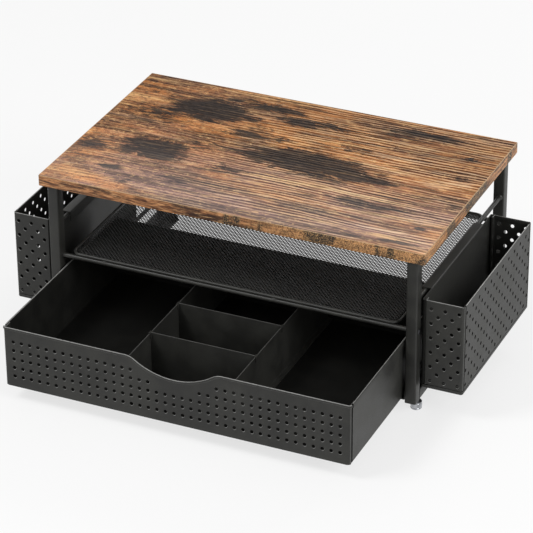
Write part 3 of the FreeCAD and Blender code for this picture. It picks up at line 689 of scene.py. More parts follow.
class Perforator(Grower):
    """Grows a sheet with rows of punched holes, its face at height 0 and its back below it."""

    def plan(self) -> bpy.types.NodeTree:
        """Builds the tree: a plan of the holes, both faces, the flared hole walls and the cut edge.

        Returns:
            The tree.
        """
        t = Tree("perforated_sheet")
        columns, rows, short, sides = t.inputs(columns=5, rows=5, short_column=2, sides=16)
        pitch_x, pitch_y, stagger = t.inputs(column_pitch=10.0, row_pitch=10.0, stagger=0.0)
        middle, first, gap_one, gap_two = t.inputs(middle=0.0, first_row=0.0, first_row_gap=0.0, second_row_gap=0.0)
        radius, lip, lip_depth, lip_wear = t.inputs(hole_radius=2.42, lip=0.42, lip_depth=0.42, lip_wear=0.8)
        thickness, material = t.inputs(thickness=1.0, material="Material")

        index = t.grow("InputIndex")
        column, row = (t.whole(operation, index, rows) for operation in ("DIVIDE_FLOOR", "MODULO"))
        odd = t.whole("MODULO", column, 2)
        out = t.times(t.minus(column, t.over(t.minus(columns, 1.0), 2.0)), pitch_x)
        drop = t.plus(t.times(row, pitch_y), t.times(odd, stagger))
        place = t.triple(t.plus(middle, out), t.minus(first, drop), 0.0)
        dots = t.grow("Points", {"Count": t.whole("MULTIPLY", columns, rows), "Position": place})
        # Positions are worked out before the deletion, so the rules below read the places themselves
        spot = t.grow("InputPosition")
        x, y, level = t.parts(spot)
        away, depth = t.math("ABSOLUTE", x), t.minus(first, y)
        scoops = [
            t.times(t.math("LESS_THAN", depth, t.times(pitch_y, reach)), t.math("LESS_THAN", away, gap))
            for reach, gap in ((0.4, gap_one), (1.4, gap_two))
        ]
        last = t.math("COMPARE", row, t.minus(rows, 1.0), 0.1)
        stub = t.times(last, t.math("COMPARE", odd, short, 0.1))
        gone = t.math("GREATER_THAN", t.plus(t.plus(*scoops), stub), 0.5)
        kept = t.without(dots, gone, "POINT")

        mouth = t.plus(radius, lip)
        circle = t.grow("CurvePrimitiveCircle", {"Resolution": sides, "Radius": mouth})
        outlines = t.join(t.grow("MeshToCurve", {"Mesh": t.start}), t.copies(kept, circle))
        front = t.grow("FillCurve", {"Curve": outlines}, mode="TRIANGLES")
        down = t.times(thickness, -1.0)
        back = t.grow("FlipFaces", {"Mesh": t.moved(front, down)})

        tube = {"Vertices": sides, "Side Segments": 3, "Radius": radius, "Depth": thickness}
        wall = t.grow("MeshCylinder", tube, fill_type="NONE")
        height, edge = t.math("ABSOLUTE", level), t.times(thickness, 0.4)
        widen = t.over(mouth, radius)
        inner = t.minus(t.times(thickness, 0.5), lip_depth)
        stretch = t.over(inner, t.over(thickness, 6.0))
        for test, factors in (("GREATER_THAN", (widen, widen, 1.0)), ("LESS_THAN", (1.0, 1.0, stretch))):
            flared = t.vector("MULTIPLY", spot, t.triple(*factors))
            chosen = t.math(test, height, edge)
            wall = t.grow("SetPosition", {"Geometry": wall, "Selection": chosen, "Position": flared})
        # Painted light: the lips get a painted highlight, strongest on their lower right, and the walls between them
        # painted shade
        lean = t.over(t.minus(x, y), t.times(mouth, 1.2))
        lean = t.math("MAXIMUM", t.math("MINIMUM", lean, 1.0), 0.15)
        bright = t.times(t.math("GREATER_THAN", level, inner), t.times(lean, lip_wear))
        dark = t.math("LESS_THAN", height, t.times(inner, 0.5))
        worn = {"Geometry": wall, "Name": "wear", "Value": t.minus(bright, dark)}
        wall = t.grow("StoreNamedAttribute", worn, data_type="FLOAT", domain="FACE")
        walls = t.grow("FlipFaces", {"Mesh": t.copies(kept, t.moved(wall, t.times(thickness, -0.5)))})

        cut = {"Mesh": t.start, "Offset": t.triple(0.0, 0.0, down), "Offset Scale": 1.0}
        rim = t.grow("ExtrudeMesh", cut, mode="EDGES")
        whole = t.join(front, back, walls, rim)
        return t.close(t.grow("MergeByDistance", {"Geometry": whole, "Distance": 0.004}), material)

    def sheet(self, outline: Line, material: Material, **values: float) -> Mesh:
        """Grows one sheet inside an outline, with the tree's inputs given by name."""
        return self.along([(x, y, 0.0) for x, y in outline], True, material=material, **values)


class WireBender(Grower):
    """Grows round wire along lines."""

    def plan(self) -> bpy.types.NodeTree:
        """Builds the tree.

        Returns:
            The tree.
        """
        t = Tree("bent_wire")
        radius, sides, material = t.inputs(wire_radius=2.0, sides=18, material="Material")
        line = t.grow("MeshToCurve", {"Mesh": t.start})
        section = t.grow("CurvePrimitiveCircle", {"Resolution": sides, "Radius": radius})
        tube = t.grow("CurveToMesh", {"Curve": line, "Profile Curve": section, "Fill Caps": True})
        return t.close(tube, material)

    def wire(
        self, line: Sequence[Triple], radius: float, material: Material, closed: bool = False, sides: int = 18
    ) -> Grown:
        """Grows one wire along its middle line, with the matrix that takes it to metres."""
        values = {"wire_radius": radius, "sides": sides, "material": material}
        return (self.along(line, closed, **values), SCALE)


class MeshWeaver(Grower):
    """Grows flat mesh of small diamonds inside a rounded rectangle."""

    def plan(self) -> bpy.types.NodeTree:
        """Builds the tree: a grid turned by 45 degrees, cut to the rectangle and opened cell by cell.

        Returns:
            The tree.
        """
        t = Tree("diamond_mesh")
        half_x, half_y, corner = t.inputs(half_width=100.0, half_depth=100.0, corner_radius=10.0)
        left, right = t.inputs(left_limit=-1000.0, right_limit=1000.0)
        cells, cell, open_share, material = t.inputs(cells=40, cell=5.0, open_share=0.7, material="Material")
        span = t.times(t.over(cell, math.sqrt(2)), cells)
        knots = t.whole("ADD", cells, 1)
        grid = t.grow("MeshGrid", {"Size X": span, "Size Y": span, "Vertices X": knots, "Vertices Y": knots})
        grid = t.grow("Transform", {"Geometry": grid, "Rotation": (0.0, 0.0, math.radians(45))})
        spot = t.grow("InputPosition")
        limit = t.triple(t.minus(half_x, corner), t.minus(half_y, corner), 1000.0)
        beyond = t.vector("MAXIMUM", t.vector("SUBTRACT", t.vector("ABSOLUTE", spot), limit), (0.0, 0.0, 0.0))
        outside = t.math("GREATER_THAN", t.minus(t.vector("LENGTH", beyond, output=1), corner), -1.0)
        x = t.parts(spot)[0]
        off = t.plus(t.math("LESS_THAN", x, left), t.math("GREATER_THAN", x, right))
        kept = t.without(grid, t.math("GREATER_THAN", t.plus(outside, off), 0.5), "FACE")
        cut = {"Mesh": kept, "Offset Scale": 0.0, "Individual": True}
        inset, top, _ = t.add("GeometryNodeExtrudeMesh", cut, mode="FACES").outputs
        opened = {"Geometry": inset, "Selection": top, "Scale": open_share}
        bars = t.without(t.grow("ScaleElements", opened, domain="FACE"), top, "FACE")
        return t.close(t.grow("MergeByDistance", {"Geometry": bars, "Distance": 0.01}), material)

    def cloth(self, material: Material, **values: float) -> Mesh:
        """Grows one flat stretch of mesh with no thickness, with the tree's inputs given by name."""
        return self.along([(0.0, 0.0, 0.0)], False, material=material, **values)


class Fastener(Grower):
    """Sets copies of one small turned piece at marked points."""

    def plan(self) -> bpy.types.NodeTree:
        """Builds the tree.

        Returns:
            The tree.
        """
        t = Tree("set_fasteners")
        master, material = t.inputs(master="Object", material="Material")
        facing = t.grow("InputNamedAttribute", {"Name": "facing"}, data_type="FLOAT_VECTOR")
        shape = t.add("GeometryNodeObjectInfo", {"Object": master}).outputs["Geometry"]
        turn = t.add("FunctionNodeAlignRotationToVector", {"Vector": facing}, axis="Z").outputs[0]
        dots = t.grow("MeshToPoints", {"Mesh": t.start})
        return t.close(t.grow("InstanceOnPoints", {"Points": dots, "Instance": shape, "Rotation": turn}), material)

    def placed(self, shell: Shell, spots: Sequence[Triple], facing: Triple | None, material: Material) -> Grown:
        """Sets copies of a shell.

        Args:
            shell: The piece, its axis along Z.
            spots: Where each copy's origin goes.
            facing: Where every copy's Z points, or None for outward along X.
            material: Its material.

        Returns:
            The mesh, with the matrix that keeps it in metres.
        """
        shape = shell.mesh("master")
        tidy_mesh(shape, 40)
        master = bpy.data.objects.new("master", shape)
        base = bpy.data.meshes.new("spots")
        base.from_pydata([(x * MM, y * MM, z * MM) for x, y, z in spots], [], [])
        mark = base.attributes.new("facing", "FLOAT_VECTOR", "POINT")
        for index, (x, _, _) in enumerate(spots):
            mark.data[index].vector = facing or (math.copysign(1.0, x), 0.0, 0.0)
        made = self.grown(base, master=master, material=material)
        bpy.data.objects.remove(master)
        return (made, METRES)


# Finishes


def tone(red: float, green: float, blue: float) -> tuple[float, float, float, float]:
    """A colour given as 0 to 255 on the screen, in linear light.

    Args:
        red: Red.
        green: Green.
        blue: Blue.

    Returns:
        Four linear numbers.
    """
    shares = [value / 255 for value in (red, green, blue)]
    linear = [share / 12.92 if share <= 0.04045 else ((share + 0.055) / 1.055) ** 2.4 for share in shares]
    return (linear[0], linear[1], linear[2], 1.0)


class Paint(Graph):
    """A procedural material while it is being built."""

    def __init__(self, name: str) -> None:
        """Starts a material with a Principled shader and Object coordinates.

        Args:
            name: Name of the material.
        """
        self.material = bpy.data.materials.new(name)
        self.material.use_nodes = True
        super().__init__(self.material.node_tree)
        self.shader = self.tree.nodes["Principled BSDF"]
        self.place = self.add("ShaderNodeTexCoord").outputs["Object"]

    def stretched(self, x: float, y: float, z: float, place: Socket | None = None) -> Socket:
        """Coordinates scaled by axis, the object's own unless others are given."""
        return self.add("ShaderNodeMapping", {"Vector": place or self.place, "Scale": (x, y, z)}).outputs[0]

    def noise(
        self, scale: float, detail: float, rough: float = 0.55, place: Socket | None = None, twist: float = 0.0
    ) -> Socket:
        """Noise from 0 to 1, its scale in features for each metre, in the object's own coordinates or others."""
        wires = {"Scale": scale, "Detail": detail, "Roughness": rough, "Distortion": twist}
        return self.add("ShaderNodeTexNoise", wires | {"Vector": place or self.place}).outputs[0]

    def spread(self, value: Socket, low: float, high: float, start: float = 0.0, end: float = 1.0) -> Socket:
        """Maps a value smoothly from low and high to start and end, clamped."""
        wires = dict(enumerate((value, low, high, start, end)))
        return self.add("ShaderNodeMapRange", wires, interpolation_type="SMOOTHSTEP").outputs[0]

    def blend(self, share: object, first: object, second: object, mode: str = "MIX") -> Socket:
        """Mixes two colours.

        Args:
            share: How much of the second.
            first: A colour as on the screen, four linear numbers, or a socket.
            second: The same.
            mode: How they are mixed.

        Returns:
            The mixed colour.
        """
        colours = [tone(*each) if isinstance(each, tuple) and len(each) == 3 else each for each in (first, second)]
        wires = {0: share, 6: colours[0], 7: colours[1]}
        return self.add("ShaderNodeMix", wires, data_type="RGBA", blend_type=mode).outputs[2]

    def layered(self, base: Socket, *layers: tuple[Socket, object]) -> Socket:
        """Lays colours over a base.

        Args:
            base: The colour below.
            *layers: Pairs of each colour's share and the colour.

        Returns:
            The colour with all of them on it.
        """
        for share, colour in layers:
            base = self.blend(share, base, colour)
        return base

    def swing(self, value: Socket, reach: float) -> Socket:
        """A noise as a swing about 0."""
        return self.times(self.minus(value, 0.5), reach)

    def bump(self, height: Socket, strength: float, depth_mm: float) -> None:
        """Adds bump over whatever bump there is.

        Args:
            height: Height from 0 to 1.
            strength: Strength of the effect.
            depth_mm: Depth of the relief in millimetres.
        """
        normal = self.shader.inputs["Normal"]
        wires: dict = {"Strength": strength, "Distance": depth_mm * MM, "Height": height}
        if normal.is_linked:
            wires["Normal"] = normal.links[0].from_socket
        self.tree.links.new(self.add("ShaderNodeBump", wires).outputs[0], normal)

    def finish(self, **values: object) -> Material:
        """Sets the shader's own sockets.

        Args:
            **values: Plain numbers or what is linked, by socket name with _ for each space.

        Returns:
            The finished material.
        """
        for name, value in values.items():
            socket = self.shader.inputs[name.replace("_", " ")]
            if isinstance(value, Socket):
                self.tree.links.new(value, socket)
            else:
                socket.default_value = value
        return self.material


@dataclass(frozen=True)
class PowderCoat:
    """Fine-grained black powder coat on steel, worn and painted with highlight on edges and rims, painted with shade
    in seams, hollows and hole walls.
    """

    name: str
    dark: Triple = (39, 39, 37)
    light: Triple = (49, 49, 46)
    fleck: Triple = (72, 72, 69)
    # Bare steel of worn edges, also the colour of the painted highlight
    bare: Triple = (150, 150, 148)
    # Near black of the painted shade
    shade: Triple = (9, 9, 9)
    roughness: float = 0.5
    grain: float = 2600.0
    grain_strength: float = 0.18
    wear: float = 1.0

    def build(self) -> Material:
        """Builds the material.

        Returns:
            The material.
        """
        p = Paint(self.name)
        cloud = p.noise(26.0, 4.0, 0.6)
        speck = p.noise(self.grain, 2.0, 0.7)
        rough = p.spread(cloud, 0.3, 0.7, self.roughness - 0.04, self.roughness + 0.05)
        coat = p.blend(p.spread(cloud, 0.35, 0.65), self.dark, self.light)
        coat = p.blend(p.spread(speck, 0.55, 0.8, 0.0, 0.35), coat, self.fleck)
        edge = p.add("ShaderNodeAttribute", attribute_name="wear").outputs["Fac"]
        # Painted shade: faces marked below 0 (seams, hole walls, the drawer's inside) blend toward near black
        coat = p.blend(p.spread(edge, -1.0, 0.0, 0.9, 0.0), coat, self.shade)
        # Wear and painted highlight: faces marked above 0 blend toward bare steel
        thin = p.spread(p.noise(160.0, 4.0, 0.6), 0.25, 0.6, 0.6 * self.wear, self.wear)
        rubbed_and_painted_highlight = p.times(p.spread(edge, 0.0, 1.0), thin)
        rough = p.plus(p.spread(speck, 0.3, 0.7, -0.06, 0.08), rough)
        p.bump(speck, self.grain_strength, 0.12)
        p.bump(p.noise(420.0, 2.0, 0.5), 0.06, 0.1)
        return p.finish(
            Base_Color=p.blend(rubbed_and_painted_highlight, coat, self.bare),
            Roughness=p.minus(rough, p.times(rubbed_and_painted_highlight, 0.14)),
            # The painted shade also takes most of the reflection away
            Specular_IOR_Level=p.spread(edge, -0.6, 0.0, 0.06, 0.32),
        )


@dataclass(frozen=True)
class BareMetal:
    """Bright or oxidised bare metal with a slight draw grain."""

    name: str
    shade: Triple
    roughness: float
    metal: float = 1.0

    def build(self) -> Material:
        """Builds the material.

        Returns:
            The material.
        """
        p = Paint(self.name)
        streak = p.noise(900.0, 3.0, 0.6, p.stretched(1.0, 1.0, 0.12))
        cloud = p.noise(160.0, 3.0, 0.6)
        darker = tuple(value * 0.82 for value in self.shade)
        rough = p.spread(cloud, 0.3, 0.7, self.roughness, self.roughness + 0.06)
        p.bump(streak, 0.05, 0.05)
        return p.finish(
            Base_Color=p.blend(p.spread(cloud, 0.3, 0.7), self.shade, darker),
            Roughness=p.plus(p.spread(streak, 0.3, 0.7, -0.03, 0.05), rough),
            Metallic=self.metal,
        )


@dataclass(frozen=True)
class SoftRubber:
    """Dull black rubber."""

    name: str = "rubber"
    dark: Triple = (38, 38, 39)
    light: Triple = (54, 54, 55)

    def build(self) -> Material:
        """Builds the material.

        Returns:
            The material.
        """
        p = Paint(self.name)
        colour = p.blend(p.spread(p.noise(300.0, 4.0, 0.6), 0.3, 0.7), self.dark, self.light)
        p.bump(p.noise(2200.0, 2.0), 0.25, 0.1)
        return p.finish(Base_Color=colour, Roughness=p.spread(p.noise(1500.0, 2.0), 0.3, 0.7, 0.72, 0.9))


@dataclass(frozen=True)
class Scorch:
    """One charred area of the board's print, in millimetres."""

    x: float
    y: float
    half_x: float
    half_y: float
    depth: float


@dataclass(frozen=True)
class RusticWood:
    """Rustic golden brown wood print with charred areas and close dark grooves along X."""

    name: str = "rustic_board"
    groove_pitch: float = 6.2
    umber: Triple = (112, 70, 44)
    golden: Triple = (216, 138, 74)
    honey: Triple = (255, 204, 140)
    mauve: Triple = (156, 116, 108)
    deep: Triple = (62, 40, 32)
    soot: Triple = (10, 11, 15)
    ash: Triple = (42, 38, 36)
    worn: Triple = (226, 186, 150)
    crack: Triple = (20, 14, 13)
    bloom: Triple = (200, 190, 190)
    scorches: tuple[Scorch, ...] = (
        Scorch(-135, 93, 60, 34, 1.15),
        Scorch(-161, -40, 50, 32, 1.05),
        Scorch(-245, -60, 34, 16, 0.7),
        Scorch(-229, -3, 34, 14, 0.5),
        Scorch(-195, 110, 40, 12, 0.55),
        Scorch(-12, 107, 58, 14, 0.85),
        Scorch(27, 1, 98, 31, 1.15),
        Scorch(155, 134, 62, 9, 1.0),
        Scorch(219, 93, 22, 7, 0.65),
        Scorch(156, 84, 36, 8, 0.55),
        Scorch(105, -11, 66, 15, 0.9),
        Scorch(148, -72, 60, 11, 0.85),
        Scorch(255, -37, 16, 9, 0.6),
        Scorch(234, -106, 10, 5, 0.9),
        Scorch(-191, -108, 20, 9, 0.6),
        Scorch(-159, -131, 28, 12, 0.5),
        Scorch(222, -149, 32, 4, 0.8),
        Scorch(-50, -58, 34, 14, 0.4),
        Scorch(-60, 42, 50, 24, 0.6),
        Scorch(-190, 62, 60, 34, 0.5),
        Scorch(-110, -8, 46, 26, 0.42),
        Scorch(-214, -34, 52, 30, 0.38),
        Scorch(-70, 128, 60, 16, 0.75),
        Scorch(70, 62, 60, 12, 0.42),
        Scorch(-90, -110, 60, 12, 0.42),
        Scorch(70, -112, 60, 10, 0.42),
        Scorch(236, 36, 24, 10, 0.45),
    )

    def scorched(self, p: Paint) -> Socket:
        """Adds the soft shapes of the charred areas.

        Args:
            p: The material being built.

        Returns:
            How charred a place is, from 0 to 1.
        """
        whole = None
        for mark in self.scorches:
            moved = p.vector("ADD", p.place, (-mark.x * MM, -mark.y * MM, 0.0))
            shrunk = p.vector("MULTIPLY", moved, (1 / (mark.half_x * MM), 1 / (mark.half_y * MM), 0.0))
            here = p.spread(p.vector("LENGTH", shrunk, output=1), 0.15, 1.7, mark.depth, 0.0)
            whole = here if whole is None else p.math("MAXIMUM", whole, here)
        return whole

    def build(self) -> Material:
        """Builds the material.

        Returns:
            The material.
        """
        p = Paint(self.name)
        sway = p.swing(p.noise(5.0, 3.0, 0.5, p.stretched(0.5, 1.0, 1.0)), 0.02)
        place = p.vector("ADD", p.place, p.triple(0.0, sway))
        bands = p.noise(60.0, 4.0, 0.6, p.stretched(0.08, 1.0, 1.0, place), 0.3)
        fibre = p.noise(420.0, 3.0, 0.6, p.stretched(0.07, 1.0, 1.0, place))
        cloud = p.noise(13.0, 5.0, 0.62, p.stretched(0.55, 1.0, 1.0, place), 0.5)
        fleck = p.noise(190.0, 5.0, 0.72, p.stretched(0.55, 1.0, 1.0), 0.8)
        tinted = p.noise(9.0, 3.0, 0.5, p.stretched(0.5, 1.0, 1.0, place), 0.4)
        knotty = p.noise(130.0, 6.0, 0.8, p.stretched(0.8, 1.0, 1.0), 1.2)
        sliver = p.noise(185.0, 2.0, 0.5, p.stretched(0.06, 1.0, 1.0, place), 0.6)
        across, along, _ = p.parts(p.place)
        toward_front = p.spread(along, -0.1, 0.03, 1.0, 0.25)
        speckled = p.spread(across, -0.16, 0.04, 1.0, 0.25)
        ridged = p.spread(across, -0.2, 0.0, 0.4, 1.0)

        base = p.layered(
            p.blend(p.spread(cloud, 0.36, 0.62), self.umber, self.golden),
            (p.spread(across, 0.1, 0.24, 0.0, 0.4), self.golden),
            # A mauve tint toward the front: partly the print's tone, partly painted sheen
            (p.times(p.spread(tinted, 0.44, 0.6, 0.0, 0.85), toward_front), self.mauve),
            (p.spread(bands, 0.38, 0.53, 0.8, 0.0), self.deep),
            (p.spread(bands, 0.55, 0.7, 0.0, 0.6), self.honey),
            (p.spread(fleck, 0.53, 0.68, 0.0, 0.55), self.honey),
            (p.spread(fleck, 0.3, 0.46, 0.7, 0.0), self.deep),
            (p.times(p.spread(knotty, 0.4, 0.5, 0.75, 0.0), speckled), self.deep),
            (p.times(p.spread(knotty, 0.54, 0.66, 0.0, 0.5), speckled), self.honey),
        )
        ragged = p.noise(52.0, 8.0, 0.78, p.stretched(0.3, 1.0, 1.0, place), 1.5)
        burn = p.plus(p.swing(ragged, 2.6), p.swing(fibre, 0.6))
        burn = p.plus(p.plus(burn, p.times(self.scorched(p), 0.85)), p.swing(bands, 0.8))
        burnt = p.spread(burn, 0.2, 0.6, 0.0, 0.97)
        clean = p.spread(burnt, 0.0, 1.0, 1.0, 0.2)
        top = p.blend(burnt, base, p.blend(p.spread(fleck, 0.36, 0.64), self.soot, self.ash))

        # Carved grooves: even lines across the board, led astray a little, and weaker to the left
        stray = p.noise(24.0, 3.0, 0.55, p.stretched(0.22, 1.0, 1.0), 0.2)
        line = p.times(p.parts(place)[1], math.tau / (self.groove_pitch * MM))
        wave = p.math("SINE", p.plus(line, p.times(stray, 17.0)))
        keep = p.spread(p.noise(30.0, 3.0, 0.6, p.stretched(0.25, 1.0, 1.0)), 0.34, 0.56, 0.25, 1.0)
        carved = p.times(p.spread(across, -0.17, 0.04, 0.22, 1.0), keep)
        groove = p.times(p.spread(wave, -0.85, -0.25, 1.0, 0.0), carved)
        crest = p.times(p.times(p.spread(wave, 0.35, 0.9, 0.0, 0.7), carved), clean)
        top = p.blend(crest, top, self.worn, "SCREEN")
        darker = p.times(p.spread(sliver, 0.32, 0.43, 0.75, 0.0), ridged)
        top = p.layered(top, (p.times(groove, 0.8), self.crack), (darker, self.crack))
        bright = p.times(p.times(p.spread(sliver, 0.58, 0.68, 0.0, 0.5), ridged), clean)
        top = p.blend(bright, top, self.worn, "SCREEN")
        top = p.layered(
            top,
            (p.spread(fibre, 0.32, 0.45, 0.7, 0.0), self.crack),
            (p.times(p.spread(fibre, 0.56, 0.7, 0.0, 0.5), clean), self.honey),
            # Painted shade: the board darkens toward the rear
            (p.spread(along, 0.02, 0.11, 0.0, 0.18), self.soot),
        )
        # Painted sheen: a pale haze over the board toward the front
        top = p.blend(p.spread(along, -0.15, 0.02, 0.13, 0.0), top, self.bloom, "SCREEN")
        p.bump(p.times(wave, carved), 0.35, 0.3)
        p.bump(fleck, 0.12, 0.15)
        p.bump(fibre, 0.12, 0.1)
        rough = p.plus(p.spread(fleck, 0.3, 0.7, 0.62, 0.5), p.times(groove, 0.2))
        return p.finish(Base_Color=top, Roughness=rough, Specular_IOR_Level=0.07)


@dataclass(frozen=True)
class WoodBand:
    """Printed edge band: brown with charred stretches, pale flecks and a worn upper edge with a painted highlight."""

    name: str = "edge_band"
    top: float = 237.0
    brown: Triple = (100, 62, 42)
    tan: Triple = (200, 140, 92)
    streaked: Triple = (52, 35, 30)
    pore: Triple = (44, 29, 25)
    glint: Triple = (240, 190, 136)
    olive: Triple = (82, 60, 40)
    straw: Triple = (222, 168, 112)
    char: Triple = (32, 31, 30)
    ember: Triple = (190, 150, 102)
    worn: Triple = (196, 164, 126)

    def build(self) -> Material:
        """Builds the material.

        Returns:
            The material.
        """
        p = Paint(self.name)
        grain = p.noise(300.0, 4.0, 0.62, p.stretched(0.14, 0.14, 1.0), 0.5)
        streak = p.noise(120.0, 4.0, 0.6, p.stretched(0.16, 0.16, 1.0), 0.7)
        patch = p.noise(17.0, 3.0, 0.55, p.stretched(1.0, 1.0, 0.3), 0.5)
        fleck = p.noise(520.0, 3.0, 0.65, None, 1.0)
        fibre = p.noise(620.0, 3.0, 0.6, p.stretched(0.1, 0.1, 1.0), 0.2)
        x, y, height = p.parts(p.place)
        khaki = p.times(p.spread(x, -0.02, 0.12, 0.0, 0.7), p.spread(y, -0.16, -0.06, 1.0, 0.25))
        marked = p.times(p.spread(patch, 0.5, 0.545, 0.0, 0.93), p.spread(x, -0.13, -0.03, 0.2, 1.0))
        # Wear and painted highlight along the upper edge
        rubbed_and_painted_highlight = p.spread(height, (self.top - 1.0) * MM, (self.top - 0.3) * MM, 0.0, 0.75)
        base = p.layered(
            p.blend(p.spread(grain, 0.38, 0.6), self.brown, self.tan),
            (p.spread(streak, 0.4, 0.54, 0.85, 0.0), self.streaked),
            (p.spread(fibre, 0.36, 0.46, 0.6, 0.0), self.pore),
            (p.spread(fibre, 0.54, 0.66, 0.0, 0.5), self.glint),
            (khaki, p.blend(p.spread(fleck, 0.42, 0.56), self.olive, self.straw)),
            (marked, p.blend(p.spread(fleck, 0.5, 0.61, 0.0, 0.8), self.char, self.ember)),
            (p.times(rubbed_and_painted_highlight, p.spread(fleck, 0.3, 0.6, 0.5, 1.0)), self.worn),
        )
        p.bump(grain, 0.15, 0.15)
        return p.finish(Base_Color=base, Roughness=p.spread(grain, 0.3, 0.7, 0.6, 0.48), Specular_IOR_Level=0.3)


class Bench:
    """Turns shells into pieces of the part, and keeps the finishes and the growers."""

    def __init__(self, nodes: dict[str, bpy.types.Object]) -> None:
        """Builds the finishes and the growers.

        Args:
            nodes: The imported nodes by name.
        """
        self.nodes = nodes
        recipes = {
            Slot.BOARD: RusticWood(),
            Slot.BANDING: WoodBand(),
            Slot.FRAME: PowderCoat("frame_coat", roughness=0.42, wear=0.0),
            Slot.SHEET: PowderCoat("sheet_coat", roughness=0.48),
            Slot.MESH: PowderCoat("mesh_coat", dark=(36, 36, 35), light=(45, 45, 43), roughness=0.45, wear=0.0),
            Slot.CHROME: BareMetal("chrome", (182, 184, 188), 0.12),
            Slot.NUT: BareMetal("zinc", (176, 178, 180), 0.34),
            Slot.SCREW: BareMetal("black_oxide", (58, 58, 60), 0.34, 0.8),
            Slot.RUBBER: SoftRubber(),
        }
        self.finishes = {slot: recipe.build() for slot, recipe in recipes.items()}
        self.perforator = Perforator()
        self.bender = WireBender()
        self.weaver = MeshWeaver()
        self.fastener = Fastener()

    def piece(
        self,
        name: str,
        node: str,
        slot: Slot,
        shell: Shell | None = None,
        parts: Sequence[Grown] = (),
        body: str = "stand",
        mirror: bool = False,
        bevel: float = 0.0,
        smooth: float = 35.0,
    ) -> bpy.types.Object:
        """Makes one piece.

        Args:
            name: Name of the piece.
            node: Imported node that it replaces.
            slot: Material slot of its finish.
            shell: Its own shells, if any.
            parts: Grown meshes, each with the matrix that takes it to metres in the part's frame.
            body: Body that carries it.
            mirror: Whether X is mirrored.
            bevel: Width of a soft edge in millimetres.
            smooth: Edges less bent than this, in degrees, are smooth.

        Returns:
            The object.
        """
        whole = shell or Shell()
        for part, matrix in parts:
            whole.take(part, matrix)
        mesh = whole.mesh(name, mirror)
        mesh.materials.append(self.finishes[slot])
        tidy_mesh(mesh, smooth)
        made = scene_object(name, mesh)
        if bevel:
            edge = made.modifiers.new("soft_edges", "BEVEL")
            edge.width = bevel * MM
            edge.segments = 2
            edge.limit_method = "ANGLE"
            edge.angle_limit = math.radians(40)
            edge.harden_normals = True
        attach(made, body)
        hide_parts(node)
        LOG.info("%s: %d faces on %s", name, len(mesh.polygons), body)
        return made

    def repaint(self, node: str, slot: Slot) -> None:
        """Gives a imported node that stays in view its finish.

        Args:
            node: Name of the node.
            slot: Its material slot.
        """
        materials = self.nodes[node].data.materials
        materials.clear()
        materials.append(self.finishes[slot])
        LOG.info("%s stays, with the finish %s", node, slot.value)


def facing_front(y: float) -> Matrix:
    """Takes a sheet's own plane in millimetres to a plane at Y that faces the front, in metres."""
    return SCALE @ Matrix(((1, 0, 0, 0), (0, 0, -1, y), (0, 1, 0, 0), (0, 0, 0, 1)))


def facing_rear(y: float) -> Matrix:
    """Takes a sheet's own plane in millimetres to a plane at Y that faces the rear, its X mirrored, in metres."""
    return SCALE @ Matrix(((-1, 0, 0, 0), (0, 0, 1, y), (0, 1, 0, 0), (0, 0, 0, 1)))


def facing_right(x: float) -> Matrix:
    """Takes a sheet's own plane in millimetres to a plane at X that faces +X, in metres."""
    return SCALE @ Matrix(((0, 0, 1, x), (1, 0, 0, 0), (0, 1, 0, 0), (0, 0, 0, 1)))


# How much the sides of the edge sections are worn and painted with highlight, or painted with shade below 0
RIM_WEAR_AND_PAINTED_HIGHLIGHT = {2: 0.6, 3: 1.0, 4: 1.0, 5: 0.6}
# The wrap's round corner is worn and painted with a faint highlight, and its seam groove painted with shade
WRAP_WEAR_AND_PAINTED_LIGHT = {4: 0.12, 5: 0.25, 6: 0.25, 7: 0.12, 9: -1.0, 10: -1.0}
# The tray's inside faces are painted with shade, and its crown worn and painted with highlight
TRAY_WEAR_AND_PAINTED_LIGHT = dict.fromkeys(range(7), -0.5) | {9: 0.5, 10: 1.0, 11: 1.0, 12: 0.6}
BEAD_WEAR_AND_PAINTED_HIGHLIGHT = {0: 0.4, 1: 0.4, 5: 0.6, 6: 1.0, 7: 1.0, 8: 0.5}


# The stand


@dataclass
class Top:
    """The board and its edge bands."""

    half_width: float = 265.0
    half_depth: float = 165.0
    band: float = 1.0
    edge: float = 0.7
    bottom: float = 222.0
    top: float = 237.0

    def build(self, bench: Bench) -> None:
        """Builds the pieces.

        Args:
            bench: Makes and places them.
        """
        bench.repaint("top_board", Slot.BOARD)
        outer = rounded(centred(self.half_width, self.half_depth), 1.6, 5)
        section = [(-self.band, self.bottom), (-self.edge, self.bottom)]
        for level, start in ((self.bottom + self.edge, -90), (self.top - self.edge, 0)):
            section += arc((-self.edge, level), self.edge, start, start + 90, 4)
        section.append((-self.band, self.top))
        bands = Shell().sweep(section, outer, Run.Z, looped=True)
        bench.piece("edge_bands", "edge_banding", Slot.BANDING, bands)


